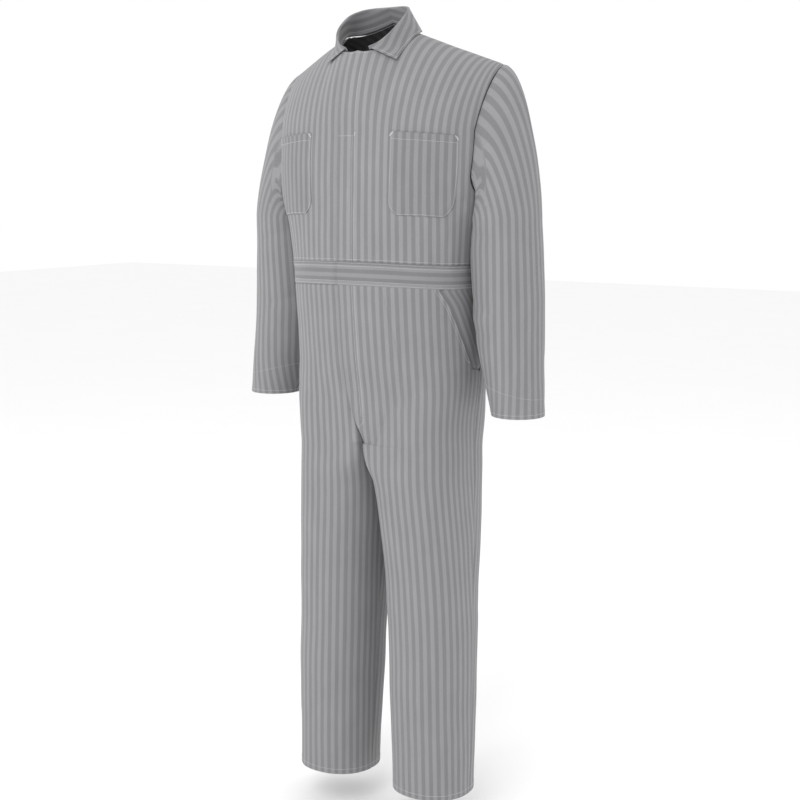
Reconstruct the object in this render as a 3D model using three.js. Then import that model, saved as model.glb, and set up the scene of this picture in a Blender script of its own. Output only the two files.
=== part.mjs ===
import * as THREE from 'three';

// Boiler suit in herringbone work cloth, in its worn form with nobody inside.
// Millimetres, +Z up. The wearer faces -Y and the wearer's left is +X.
// The origin lies midway between the two shoulder points.

// Driving dimensions
const WALL = 1.5;                 // two layers of cloth and a seam allowance
const SEAM_GAP = 0.3;             // free space between two sewn pieces
const LAP_STEP = 2.7;             // how far a lapped piece lies below the one over it
const SHOULDER_X = 245;           // half the width between the shoulder points
const SHOULDER_Y = 12;            // the shoulder points lie a little behind the origin
const SHOULDER_Z = 8;             // ridge height at the shoulder point
const SHOULDER_SLOPE = 20.9;      // degrees
const YOKE_Z = -118;              // above this height the bodice rounds over to the ridge
const ARMPIT_Z = -250;
const NECK = { halfWidth: 74, centreY: -42, front: 94, back: 38, frontPower: 2.3, backPower: 2 };
const ROUNDING = { centreFront: 2.1, front: 1.57, back: 2.1, blendFrom: 4, blendOver: 14 };
const SHOULDER_FLARE = 0.04;      // widening of the bodice from the yoke line to the ridge
const WAIST = { top: -368, bottom: -414, sideDrop: 8, wall: 2.4 };
const HIP_Z = -595;               // the crotch curve starts here
const CROTCH_Z = -736;
const CROTCH_POWER = 4;
const HEM_Z = -1482;
const HEM_RISE = 7;                // the hem is a little higher in front than behind
const CUFF_Z = -668;
const FLY = { edgeX: -22, straightTo: -560, buttZ: -675, endZ: -717, underlap: 40, stepAway: 3, stepWidth: 9,
  stepMargin: 0.5, stepKnots: [0.14, 0.2], bodiceKnots: 3, lowUnderlap: 6, hipBlend: 50 };
const POCKET = { centre: 39.5, halfAngle: 20, topDrop: 9, bottomDrop: 3, top: -120, bottom: -277, corner: 0.18,
  narrowing: 0.5, wall: 1.2, lift: 0.4 };
const MOUTH = { underlap: 6, foldAngle: 8, lowZ: -525, closeBy: 16, panelEnd: -570 };

// Bodice and hip sections, from the yoke line down to the crotch
const TORSO = [
  { z: -118, halfWidth: 236, frontY: -170, backY: 130, power: 2.3 },
  { z: -180, halfWidth: 237, frontY: -174, backY: 137, power: 2.3 },
  { z: -250, halfWidth: 230, frontY: -176, backY: 140, power: 2.3 },
  { z: -312, halfWidth: 214, frontY: -177, backY: 140, power: 2.3 },
  { z: -370, halfWidth: 203, frontY: -177, backY: 138, power: 2.3 },
  { z: -430, halfWidth: 200, frontY: -176, backY: 138, power: 2.3 },
  { z: -560, halfWidth: 199, frontY: -164, backY: 138, power: 2.3 },
  { z: -640, halfWidth: 197, frontY: -152, backY: 129, power: 2.35 },
  { z: -736, halfWidth: 186, frontY: -141, backY: 117, power: 2.5 },
];

// Left leg sections, from the crotch down to the hem
const LEG = [
  { z: -560, centreX: 97, centreY: -13, radiusX: 97, radiusY: 150, power: 3, innerPower: 3 },
  { z: -736, centreX: 93, centreY: -12, radiusX: 92.5, radiusY: 129, power: 2.6, innerPower: 6 },
  { z: -800, centreX: 94, centreY: -13, radiusX: 93, radiusY: 128, power: 2.5, innerPower: 4.2 },
  { z: -840, centreX: 96, centreY: -15, radiusX: 93, radiusY: 124, power: 2.45, innerPower: 2.8 },
  { z: -945, centreX: 103, centreY: -20, radiusX: 91, radiusY: 113, power: 2.4, innerPower: 2.4 },
  { z: -1100, centreX: 111, centreY: -27, radiusX: 88, radiusY: 101, power: 2.25, innerPower: 2.25 },
  { z: -1320, centreX: 116.5, centreY: -33, radiusX: 85, radiusY: 95, power: 2.2, innerPower: 2.2 },
  { z: -1490, centreX: 119.5, centreY: -37, radiusX: 81.5, radiusY: 89, power: 2.2, innerPower: 2.2 },
];

// Slanted hip pocket mouth: section angle of the leg front's free edge at a height
const POCKET_MOUTH = [
  { z: -418, angle: 57 },
  { z: -445, angle: 64 },
  { z: -468, angle: 68 },
  { z: -500, angle: 73 },
  { z: -588, angle: 87 },
];

// Left sleeve sections, from below the armpit down to the cuff
const SLEEVE = [
  { z: -290, centreX: 258, centreY: -6, radiusX: 71, radiusY: 80 },
  { z: -385, centreX: 262, centreY: -5, radiusX: 72, radiusY: 77 },
  { z: -468, centreX: 268, centreY: -5, radiusX: 70, radiusY: 73 },
  { z: -544, centreX: 276, centreY: -9, radiusX: 66, radiusY: 69 },
  { z: -600, centreX: 284, centreY: -13, radiusX: 61, radiusY: 64 },
  { z: -668, centreX: 298, centreY: -18, radiusX: 52, radiusY: 54 },
];

// Collar sections by the angle round the neck from the front: the fold, and the leaf's free edge
const COLLAR = [
  { angle: 17, foldX: 26, foldY: -136, foldZ: 42, edgeX: 80, edgeY: -122, edgeZ: 17 },
  { angle: 33, foldX: 44, foldY: -130, foldZ: 50, edgeX: 82, edgeY: -108, edgeZ: 28.5 },
  { angle: 50, foldX: 58, foldY: -118, foldZ: 64, edgeX: 84.5, edgeY: -90, edgeZ: 45 },
  { angle: 70, foldX: 68, foldY: -96, foldZ: 86, edgeX: 87.5, edgeY: -66, edgeZ: 62.5 },
  { angle: 90, foldX: 68, foldY: -65, foldZ: 109, edgeX: 87, edgeY: -40, edgeZ: 73 },
  { angle: 120, foldX: 56, foldY: -39, foldZ: 122, edgeX: 67, edgeY: -6, edgeZ: 79 },
  { angle: 150, foldX: 35, foldY: -24, foldZ: 127, edgeX: 38, edgeY: 13, edgeZ: 87 },
  { angle: 180, foldX: 0, foldY: -18, foldZ: 128, edgeX: 0, edgeY: 20, edgeZ: 92 },
];

const CLOTH_LIGHT = new THREE.MeshStandardMaterial({ color: 0xa0a0a5, roughness: 0.92, metalness: 0 });
const CLOTH_DARK = new THREE.MeshStandardMaterial({ color: 0x8a8a8f, roughness: 0.94, metalness: 0 });

// Small helpers
const radians = (degrees) => degrees * Math.PI / 180;
const mix = (a, b, t) => a + (b - a) * t;
const clamp = (value, low = 0, high = 1) => Math.min(high, Math.max(low, value));
const smooth = (t) => { const c = clamp(t); return c * c * (3 - 2 * c); };
const signedPower = (value, power) => Math.sign(value) * Math.pow(Math.abs(value), power);
const steps = (from, to, count) => Array.from({ length: count + 1 }, (_, i) => mix(from, to, i / count));

// A smooth reading of one column of a table, at a value of its key column
function reading(rows, key, value, column) {
  const direction = Math.sign(rows[1][key] - rows[0][key]);
  const last = rows.length - 1;
  let i = 0;
  while (i < last - 1 && (value - rows[i + 1][key]) * direction > 0) i += 1;
  const slope = (j) => {
    const a = rows[Math.max(j - 1, 0)];
    const b = rows[Math.min(j + 1, last)];
    return (b[column] - a[column]) / (b[key] - a[key]);
  };
  const [a, b] = [rows[i], rows[i + 1]];
  const span = b[key] - a[key];
  const t = clamp((value - a[key]) / span);
  const [t2, t3] = [t * t, t * t * t];
  return (2 * t3 - 3 * t2 + 1) * a[column] + (t3 - 2 * t2 + t) * span * slope(i)
    + (3 * t2 - 2 * t3) * b[column] + (t3 - t2) * span * slope(i + 1);
}

// A point of a rounded section; the angle runs from the front over the left side to the back
function sectionPoint(rows, z, angle) {
  const read = (column) => reading(rows, 'z', z, column);
  const power = 2 / read('power');
  const centreY = (read('frontY') + read('backY')) / 2;
  const halfDepth = (read('backY') - read('frontY')) / 2;
  const x = read('halfWidth') * signedPower(Math.sin(radians(angle)), power);
  const y = centreY - halfDepth * signedPower(Math.cos(radians(angle)), power);
  return new THREE.Vector3(x, y, z);
}

// Closed wall from a grid of outer points: points[row][column], thickness to the inner side
function clothWall(points, normals, wall, closed) {
  const rowCount = points.length;
  const columnCount = points[0].length;
  const positions = [];
  for (const depth of [0, wall]) {
    for (let r = 0; r < rowCount; r += 1) {
      for (let c = 0; c < columnCount; c += 1) {
        const p = points[r][c].clone().addScaledVector(normals[r][c], -depth);
        positions.push(p.x, p.y, p.z);
      }
    }
  }
  const layer = rowCount * columnCount;
  const index = [];
  const at = (r, c, inner) => (inner ? layer : 0) + r * columnCount + (c % columnCount);
  const quad = (a, b, c, d) => index.push(a, b, c, a, c, d);
  const lastColumn = closed ? columnCount : columnCount - 1;
  for (let r = 0; r + 1 < rowCount; r += 1) {
    for (let c = 0; c < lastColumn; c += 1) {
      quad(at(r, c), at(r, c + 1), at(r + 1, c + 1), at(r + 1, c));
      quad(at(r, c, 1), at(r + 1, c, 1), at(r + 1, c + 1, 1), at(r, c + 1, 1));
    }
  }
  for (let c = 0; c < lastColumn; c += 1) {
    quad(at(0, c + 1), at(0, c), at(0, c, 1), at(0, c + 1, 1));
    const r = rowCount - 1;
    quad(at(r, c), at(r, c + 1), at(r, c + 1, 1), at(r, c, 1));
  }
  if (!closed) {
    for (let r = 0; r + 1 < rowCount; r += 1) {
      quad(at(r, 0), at(r + 1, 0), at(r + 1, 0, 1), at(r, 0, 1));
      const c = columnCount - 1;
      quad(at(r + 1, c), at(r, c), at(r, c, 1), at(r + 1, c, 1));
    }
  }
  const geometry = new THREE.BufferGeometry();
  geometry.setAttribute('position', new THREE.Float32BufferAttribute(positions, 3));
  geometry.setIndex(index);
  return facingOut(geometry);
}

// Turns a closed geometry inside out where its faces point in
function facingOut(geometry) {
  const position = geometry.getAttribute('position');
  const index = geometry.getIndex().array;
  const [a, b, c] = [new THREE.Vector3(), new THREE.Vector3(), new THREE.Vector3()];
  let volume = 0;
  for (let i = 0; i < index.length; i += 3) {
    a.fromBufferAttribute(position, index[i]);
    b.fromBufferAttribute(position, index[i + 1]);
    c.fromBufferAttribute(position, index[i + 2]);
    volume += a.dot(b.cross(c));
  }
  if (volume < 0) {
    for (let i = 0; i < index.length; i += 3) {
      [index[i + 1], index[i + 2]] = [index[i + 2], index[i + 1]];
    }
  }
  geometry.computeVertexNormals();
  return geometry;
}

// Normals of a surface by small steps, turned to the side away from the given axis
function surfaceNormal(surface, u, v, outward) {
  const step = 1e-4;
  const alongU = surface(u + step, v).sub(surface(u - step, v));
  const alongV = surface(u, v + step).sub(surface(u, v - step));
  const normal = alongU.cross(alongV).normalize();
  return normal.dot(outward(surface(u, v))) < 0 ? normal.negate() : normal;
}

// Panel over a grid of surface values, with its sewn edges pulled back by half the seam gap
function panel(surface, us, vs, outward, { wall = WALL, lift = 0, sewn = 'lrbt' } = {}) {
  const raw = vs.map((v) => us.map((u) => surface(u, v)));
  const normals = vs.map((v) => us.map((u) => surfaceNormal(surface, u, v, outward)));
  const points = raw.map((row) => row.map((p) => p.clone()));
  const pull = (r, c, r2, c2) => {
    const inward = raw[r2][c2].clone().sub(raw[r][c]).normalize();
    points[r][c].addScaledVector(inward, SEAM_GAP / 2);
  };
  const [lastRow, lastColumn] = [vs.length - 1, us.length - 1];
  for (let r = 0; r <= lastRow; r += 1) {
    if (sewn.includes('l')) pull(r, 0, r, 1);
    if (sewn.includes('r')) pull(r, lastColumn, r, lastColumn - 1);
  }
  for (let c = 0; c <= lastColumn; c += 1) {
    if (sewn.includes('b')) pull(0, c, 1, c);
    if (sewn.includes('t')) pull(lastRow, c, lastRow - 1, c);
  }
  points.forEach((row, r) => row.forEach((p, c) => p.addScaledVector(normals[r][c], lift)));
  return clothWall(points, normals, wall, false);
}

// The garment's right side is the mirror image of its left side
function mirrored(surface) {
  return (u, v) => { const p = surface(u, v); p.x = -p.x; return p; };
}

// The side seam lies behind the middle of the side, and turns to it up to the armpit
const SIDE_SEAM = 97;
const sideAngle = (level) => mix(SIDE_SEAM, 90, clamp(level / PIT_LEVEL));

const TORSO_CENTRE_Y = -20;
const fromSpine = (p) => new THREE.Vector3(p.x, p.y - TORSO_CENTRE_Y, Math.max(p.z, 0));

// Waist seams hang lower at the sides than in front
const waistDrop = (angle) => -WAIST.sideDrop * Math.sin(radians(angle)) ** 2;

// Ridge of the shoulders
const ridgeZ = (x) => SHOULDER_Z + (SHOULDER_X - Math.abs(x)) * Math.tan(radians(SHOULDER_SLOPE));
const ridgeY = (x) => mix(NECK.centreY, SHOULDER_Y, smooth((Math.abs(x) - NECK.halfWidth)
  / (SHOULDER_X - NECK.halfWidth)));

// Fullness of the curve from the yoke line to the ridge
const roundingAt = (angle) => (Math.abs(angle) > 90
  ? ROUNDING.back
  : mix(ROUNDING.centreFront, ROUNDING.front,
    smooth((Math.abs(angle) - ROUNDING.blendFrom) / ROUNDING.blendOver)));

// Turn from the yoke line (0) to the ridge (90 degrees) at which a column meets the neckline
function neckTurn(angle) {
  const isFront = Math.abs(angle) <= 90;
  const foot = sectionPoint(TORSO, YOKE_Z, angle);
  const reach = Math.abs(foot.x) * (1 + SHOULDER_FLARE) / NECK.halfWidth;
  if (reach >= 1) return 90;
  const power = isFront ? NECK.frontPower : NECK.backPower;
  const depth = Math.pow(1 - Math.pow(reach, power), 1 / power);
  const y = NECK.centreY + (isFront ? -NECK.front : NECK.back) * depth;
  const part = (y - NECK.centreY) / (foot.y - NECK.centreY);
  const rounding = roundingAt(angle);
  return Math.acos(Math.pow(clamp(part), rounding / 2)) * 180 / Math.PI;
}

// Bodice surface: level 0 is the waist seam, PIT_LEVEL the armpit, 1 the neckline or the ridge
const PIT_LEVEL = 0.3;
const YOKE_LEVEL = 0.55;
function bodice(angle, level) {
  if (level <= YOKE_LEVEL) return sectionPoint(TORSO, levelZ(angle, level), angle);
  const foot = sectionPoint(TORSO, YOKE_Z, angle);
  const rounding = 2 / roundingAt(angle);
  const turn = radians(neckTurn(angle) * (level - YOKE_LEVEL) / (1 - YOKE_LEVEL));
  const rise = signedPower(Math.sin(turn), rounding);
  const x = foot.x * (1 + SHOULDER_FLARE * rise);
  const y = mix(ridgeY(x), foot.y, signedPower(Math.cos(turn), rounding));
  return new THREE.Vector3(x, y, mix(YOKE_Z, ridgeZ(x), rise));
}

// Height of a level up to the yoke line
function levelZ(angle, level) {
  if (level <= PIT_LEVEL) return mix(WAIST.top + waistDrop(angle), ARMPIT_Z, level / PIT_LEVEL);
  return mix(ARMPIT_Z, YOKE_Z, (level - PIT_LEVEL) / (YOKE_LEVEL - PIT_LEVEL));
}

// Angle at which a bodice column has a given x below the yoke line
function angleAtX(x, z) {
  const part = x / reading(TORSO, 'z', z, 'halfWidth');
  const power = reading(TORSO, 'z', z, 'power') / 2;
  return Math.asin(clamp(signedPower(part, power), -1, 1)) * 180 / Math.PI;
}

// How far the armhole cuts into the front or back panel, in degrees from the side seam
const ARMHOLE = { frontDeep: 21, backDeep: 18, atRidge: 10, deepLevel: 0.14 };
function armholeCut(level, deep) {
  const s = clamp((level - PIT_LEVEL) / (1 - PIT_LEVEL));
  if (s < ARMHOLE.deepLevel) return deep * Math.sqrt(1 - (1 - s / ARMHOLE.deepLevel) ** 2);
  return mix(deep, ARMHOLE.atRidge, (s - ARMHOLE.deepLevel) / (1 - ARMHOLE.deepLevel));
}

// Bodice levels of the grid rows: even below the armpit, dense where the armhole turns
const WAIST_ROWS = 4;
const PIT_ROWS = 5;
const ARM_ROWS = 10;
const lowLevels = steps(0, PIT_LEVEL, WAIST_ROWS);
const deepLevel = mix(PIT_LEVEL, 1, ARMHOLE.deepLevel);
const pitLevels = steps(0, 90, PIT_ROWS).slice(1)
  .map((turn) => mix(PIT_LEVEL, deepLevel, 1 - Math.cos(radians(turn))));
const armLevels = steps(deepLevel, 1, ARM_ROWS).slice(1);
const LEVELS = [...lowLevels, ...pitLevels, ...armLevels];

const NECK_COLUMNS = 6;
const SHOULDER_COLUMNS = 8;
const neckPointAngle = angleAtX(NECK.halfWidth / (1 + SHOULDER_FLARE), YOKE_Z);

// Column angle of a front: u 0 is its front edge, 1 the neck point, 2 the side seam or armhole
function frontColumn(side, u, level) {
  if (u > 1) return mix(neckPointAngle, sideAngle(level) - armholeCut(level, ARMHOLE.frontDeep), u - 1);
  const knots = flyKnots(side, Math.min(levelZ(90, level), YOKE_Z));
  const wide = knots.map(({ across, angle }) => ({ across: across * FLY.bodiceKnots, angle }));
  return acrossAngle(wide, u, neckPointAngle);
}

// Lapped piece: its surface lies lower beside and below the fly edge of the left front
function belowFly(surface) {
  return (u, v) => {
    const p = surface(u, v);
    const near = smooth((p.x - flyX(p.z) + FLY.stepAway) / FLY.stepWidth + 1);
    const fade = smooth((p.z - FLY.endZ) / (FLY.buttZ - FLY.endZ));
    p.y += LAP_STEP * near * fade;
    return p;
  };
}

// X of the fly edge at a height
function flyX(z) {
  const t = clamp((FLY.straightTo - z) / (FLY.straightTo - FLY.endZ));
  return FLY.edgeX * (1 - t * t);
}

// Width of the right front's part below the fly: narrow from the hips down, none near the crotch
function underlapAt(z) {
  const hips = smooth((z - HIP_Z) / FLY.hipBlend);
  const low = clamp((z - FLY.buttZ) / (HIP_Z - FLY.buttZ));
  return mix(FLY.lowUnderlap * low, FLY.underlap, hips);
}

// Angles of a front piece's columns near the fly: knots across the piece and their distance
// from the fly edge; the right piece has its step between the second and the third knot
function flyKnots(side, z) {
  if (side > 0) return [{ across: 0, angle: angleAtX(flyX(z), z) }];
  const edge = flyX(z);
  const stepEnd = FLY.stepAway + FLY.stepWidth - FLY.stepMargin;
  return [
    { across: 0, angle: angleAtX(-(edge + underlapAt(z)), z) },
    { across: FLY.stepKnots[0], angle: angleAtX(-(edge - FLY.stepAway - FLY.stepMargin), z) },
    { across: FLY.stepKnots[1], angle: angleAtX(-(edge - stepEnd), z) },
  ];
}

// Section angle at a place across a front piece, from its fly edge (0) to an end angle (1)
function acrossAngle(knots, across, endAngle) {
  const all = [...knots, { across: 1, angle: endAngle }];
  let i = 0;
  while (i < all.length - 2 && across > all[i + 1].across) i += 1;
  const [a, b] = [all[i], all[i + 1]];
  return mix(a.angle, b.angle, (across - a.across) / (b.across - a.across));
}

// Outer edge of the leg front: the pocket mouth, and the side seam below it
function legFrontEnd(z) {
  const end = POCKET_MOUTH[POCKET_MOUTH.length - 1];
  if (z < end.z) return mix(end.angle, SIDE_SEAM, smooth((end.z - z) / MOUTH.closeBy));
  return reading(POCKET_MOUTH, 'z', z, 'angle');
}

// Places of the columns across a front piece
const frontPlaces = (side, count, knots = FLY.stepKnots) => (side > 0
  ? steps(0, 1, count)
  : [0, knots[0] / 2, ...knots, ...steps(knots[1], 1, count - 3).slice(1)]);

const frontUs = [...steps(0, 1, NECK_COLUMNS), ...steps(1, 2, SHOULDER_COLUMNS).slice(1)];

function bodiceFront(side) {
  const plain = (u, v) => bodice(frontColumn(side, u, v), v);
  const surface = side > 0 ? plain : belowFly(mirrored(plain));
  const nearFly = frontPlaces(side, NECK_COLUMNS, FLY.stepKnots.map((k) => k * FLY.bodiceKnots));
  const us = [...nearFly, ...steps(1, 2, SHOULDER_COLUMNS).slice(1)];
  return panel(surface, us, LEVELS, fromSpine, { sewn: 'rbt' });
}

function back() {
  const backNeckAngle = neckPointAngle;
  const backColumn = (u, level) => {
    if (u <= 1) return mix(0, backNeckAngle, u);
    return mix(backNeckAngle, 180 - sideAngle(level) - armholeCut(level, ARMHOLE.backDeep), u - 1);
  };
  const surface = (u, v) => {
    const side = Math.sign(u) || 1;
    const p = bodice(180 - backColumn(Math.abs(u), v), v);
    p.x *= side;
    return p;
  };
  const half = frontUs;
  const us = [...half.slice(1).map((u) => -u).reverse(), ...half];
  return panel(surface, us, LEVELS, fromSpine, { sewn: 'lrbt' });
}

// Waistband, a little thicker than the panels it joins
function waistSurface(angle, v) {
  const z = mix(WAIST.bottom, WAIST.top, v) + waistDrop(angle);
  return sectionPoint(TORSO, z, angle);
}

const WAIST_LIFT = 0.8;
const WAIST_COLUMNS = { front: 14, back: 24 };
const bandVs = [0, 0.5, 1];

function waistbandFront(side) {
  const plain = (u, v) => waistSurface(acrossAngle(flyKnots(side, WAIST.top), u, SIDE_SEAM), v);
  const surface = side > 0 ? plain : belowFly(mirrored(plain));
  return panel(surface, frontPlaces(side, WAIST_COLUMNS.front), bandVs, fromSpine,
    { wall: WAIST.wall, lift: WAIST_LIFT, sewn: 'rbt' });
}

function waistbandBack() {
  const surface = (u, v) => waistSurface(mix(360 - SIDE_SEAM, SIDE_SEAM, u), v);
  return panel(surface, steps(0, 1, WAIST_COLUMNS.back), bandVs, fromSpine,
    { wall: WAIST.wall, lift: WAIST_LIFT });
}

// Left sleeve: the ring angle is 0 on the outer side, 90 in front, 180 next to the body
function sleeveSection(z, angle) {
  const read = (column) => reading(SLEEVE, 'z', z, column);
  const x = read('centreX') + read('radiusX') * Math.cos(radians(angle));
  const y = read('centreY') - read('radiusY') * Math.sin(radians(angle));
  return clearOfBody(new THREE.Vector3(x, y, z));
}

// Moves a sleeve point out of the body and keeps it a small way clear
const BODY_CLEARANCE = 3;
const SOFTNESS = { length: 6, straightFrom: 20 };
function clearOfBody(p) {
  const read = (column) => reading(TORSO, 'z', p.z, column);
  const centreY = (read('frontY') + read('backY')) / 2;
  const halfDepth = (read('backY') - read('frontY')) / 2;
  const part = Math.abs(p.y - centreY) / halfDepth;
  if (part >= 1) return p;
  const bodyX = read('halfWidth') * Math.pow(1 - Math.pow(part, read('power')), 1 / read('power'));
  const reach = bodyX + BODY_CLEARANCE;
  const excess = (p.x - reach) / SOFTNESS.length;
  const kept = excess > SOFTNESS.straightFrom ? excess : Math.log1p(Math.exp(excess));
  p.x = reach + SOFTNESS.length * kept;
  return p;
}

// Points round the left armhole: up the front edge and down the back edge
const armholeLevels = LEVELS.slice(WAIST_ROWS);
function armholePoints() {
  const front = armholeLevels.map((level) => bodice(90 - armholeCut(level, ARMHOLE.frontDeep), level));
  const rear = armholeLevels.map((level) => bodice(90 + armholeCut(level, ARMHOLE.backDeep), level));
  return [...front.reverse(), ...rear.slice(0, -1).slice(1)];
}

const SLEEVE_TOP_Z = -290;
const CAP_ROWS = 7;
const TUBE_ROWS = 9;

function sleeve() {
  const ring = armholePoints();
  const count = ring.length;
  const centre = ring.reduce((sum, p) => sum.add(p), new THREE.Vector3()).divideScalar(count);
  const pitIndex = armholeLevels.length - 1;
  const ringAngle = (i) => (i <= pitIndex
    ? 180 * i / pitIndex
    : 180 + 180 * (i - pitIndex) / (count - pitIndex));
  const rows = [];
  for (let r = 0; r <= CAP_ROWS; r += 1) {
    rows.push(ring.map((start, i) => capPoint(start, centre, ringAngle(i), r / CAP_ROWS)));
  }
  for (const z of steps(SLEEVE_TOP_Z, CUFF_Z, TUBE_ROWS).slice(1)) {
    rows.push(ring.map((_, i) => sleeveSection(z, ringAngle(i))));
  }
  return clothWall(rows, ringNormals(rows), WALL, true);
}

// Point of the sleeve cap on the way from the armhole to the tube
const CAP = { startOut: 0.96, startDrop: 0.31, topPull: 196, pitPull: 25, tubePull: 172, backLean: 0.16 };
function capPoint(start, centre, angle, t) {
  const from = start.clone().addScaledVector(centre.clone().sub(start).normalize(), SEAM_GAP);
  from.x += SEAM_GAP;
  const to = sleeveSection(SLEEVE_TOP_Z, angle);
  const topness = (1 + Math.cos(radians(angle))) / 2;
  const pull = mix(CAP.pitPull, CAP.topPull, topness);
  const leaving = new THREE.Vector3(CAP.startOut, 0, -mix(1, CAP.startDrop, topness)).multiplyScalar(pull);
  const lean = 1 - CAP.backLean * Math.sin(radians(angle)) * topness;
  const arriving = new THREE.Vector3(0, 0, -mix(CAP.pitPull, CAP.tubePull, topness) * lean);
  const [t2, t3] = [t * t, t * t * t];
  return new THREE.Vector3()
    .addScaledVector(from, 2 * t3 - 3 * t2 + 1)
    .addScaledVector(leaving, t3 - 2 * t2 + t)
    .addScaledVector(to, 3 * t2 - 2 * t3)
    .addScaledVector(arriving, t3 - t2);
}

// Normals of a tube given by rings of points, pointing away from each ring's centre
function ringNormals(rows) {
  const count = rows[0].length;
  return rows.map((row, r) => {
    const centre = row.reduce((sum, p) => sum.add(p), new THREE.Vector3()).divideScalar(count);
    return row.map((p, c) => {
      const alongU = row[(c + 1) % count].clone().sub(row[(c + count - 1) % count]);
      const above = rows[Math.max(r - 1, 0)][c];
      const below = rows[Math.min(r + 1, rows.length - 1)][c];
      const normal = alongU.cross(below.clone().sub(above)).normalize();
      return normal.dot(p.clone().sub(centre)) < 0 ? normal.negate() : normal;
    });
  });
}

// Height of a row of the trousers, and how far its inner edge has gone round the crotch curve
function trousers(v) {
  const turn = v < 0 ? 0 : radians(90 * v);
  const depth = v <= 1 ? Math.pow(Math.sin(turn), 2 / CROTCH_POWER) : 1;
  const z = v < 0 ? mix(WAIST.bottom, HIP_Z, 1 + v) : mix(HIP_Z, CROTCH_Z, depth);
  return { z, late: v < 0 ? 0 : 1 - Math.pow(Math.max(Math.cos(turn), 0), 2 / CROTCH_POWER) };
}

function legSection(z, angle) {
  const read = (column) => reading(LEG, 'z', z, column);
  const power = 2 / read(Math.sin(radians(angle)) < 0 ? 'innerPower' : 'power');
  const x = read('centreX') + read('radiusX') * signedPower(Math.sin(radians(angle)), power);
  const y = read('centreY') - read('radiusY') * signedPower(Math.cos(radians(angle)), power);
  return new THREE.Vector3(x, y, z);
}

// Surface of a leg panel: across runs from the inner edge (0) to the outer seam (1),
// v is -1 at the waist seam, 0 at the start of the crotch curve, 1 at the crotch, 2 at the hem
function legSurface(isFront, side) {
  return (across, v) => {
    const legAngle = isFront ? mix(-90, SIDE_SEAM, across) : mix(270, SIDE_SEAM, across);
    const hemRise = HEM_RISE * Math.cos(radians(legAngle)) * Math.max(v - 1, 0) ** 3;
    if (v >= 1) {
      const p = legSection(mix(CROTCH_Z, HEM_Z, v - 1), legAngle);
      p.z += hemRise;
      return p;
    }
    const { z: plainZ, late } = trousers(v);
    const hipAngle = isFront
      ? acrossAngle(flyKnots(side, plainZ), across, legFrontEnd(plainZ))
      : mix(180, SIDE_SEAM, across);
    const z = v < 0 ? plainZ + waistDrop(hipAngle) * -v : plainZ;
    const early = smooth((z - LEG[0].z) / (CROTCH_Z - LEG[0].z));
    const blend = mix(late, early, smooth(across * 2));
    const hip = sectionPoint(TORSO, z, hipAngle);
    const leg = legSection(z, legAngle);
    return hip.lerp(leg, blend);
  };
}

const legVs = [...steps(-1, 0, 6), ...steps(0, 1, 7).slice(1), ...steps(1, 2, 10).slice(1)];
const LEG_COLUMNS = 13;
const LEG_MIDDLE = { x: 100, y: -40 };
const fromLeg = (side) => (p) => new THREE.Vector3(p.x - side * LEG_MIDDLE.x, p.y - LEG_MIDDLE.y, 0);

function legFront(side) {
  const plain = legSurface(true, side);
  const surface = side > 0 ? plain : belowFly(mirrored(plain));
  return panel(surface, frontPlaces(side, LEG_COLUMNS), legVs, fromLeg(side));
}

function legBack(side) {
  const plain = legSurface(false, side);
  const surface = side > 0 ? plain : mirrored(plain);
  return panel(surface, steps(0, 1, LEG_COLUMNS), legVs, fromLeg(side));
}

// Side panel behind the slanted pocket mouth, from under the leg front to the side seam
function hipPocket(side) {
  const surface = (u, v) => {
    const z = mix(WAIST.bottom, MOUTH.panelEnd, v);
    const mouth = legFrontEnd(z);
    const angle = mix(mouth - MOUTH.underlap, SIDE_SEAM, u);
    const p = sectionPoint(TORSO, z + waistDrop(angle) * (1 - v), angle);
    const early = smooth((z - LEG[0].z) / (CROTCH_Z - LEG[0].z));
    const leg = legSection(z, angle);
    p.lerp(leg, early);
    const open = smooth((angle - mouth) / MOUTH.foldAngle);
    const closed = smooth((MOUTH.lowZ - z) / MOUTH.closeBy);
    const inset = LAP_STEP * Math.max(1 - open, closed);
    const inward = new THREE.Vector3(-p.x, TORSO_CENTRE_Y - p.y, 0).normalize();
    p.addScaledVector(inward, inset);
    p.x *= side;
    return p;
  };
  return panel(surface, steps(0, 1, 5), steps(0, 1, 8), fromSpine, { sewn: 'rb' });
}

// Patch pocket on the chest: the bodice's own points moved out
function chestPocket(side) {
  const us = steps(-1, 1, 8);
  const vs = [...steps(0, POCKET.corner, 4), ...steps(POCKET.corner, 1, 5).slice(1)];
  const surface = (u, v) => {
    const drop = mix(POCKET.bottomDrop, POCKET.topDrop, v) * (u + 1) / 2;
    const z = mix(POCKET.bottom, POCKET.top, v) - drop;
    const low = clamp((POCKET.corner - v) / POCKET.corner);
    const narrow = Math.sqrt(1 - low * low * POCKET.narrowing);
    const level = z < ARMPIT_Z
      ? mix(0, PIT_LEVEL, (z - WAIST.top) / (ARMPIT_Z - WAIST.top))
      : mix(PIT_LEVEL, YOKE_LEVEL, (z - ARMPIT_Z) / (YOKE_Z - ARMPIT_Z));
    const p = bodice(POCKET.centre + u * POCKET.halfAngle * narrow, level);
    p.x *= side;
    return p;
  };
  return panel(surface, us, vs, fromSpine, { wall: POCKET.wall, lift: POCKET.wall + POCKET.lift, sewn: '' });
}

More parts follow.
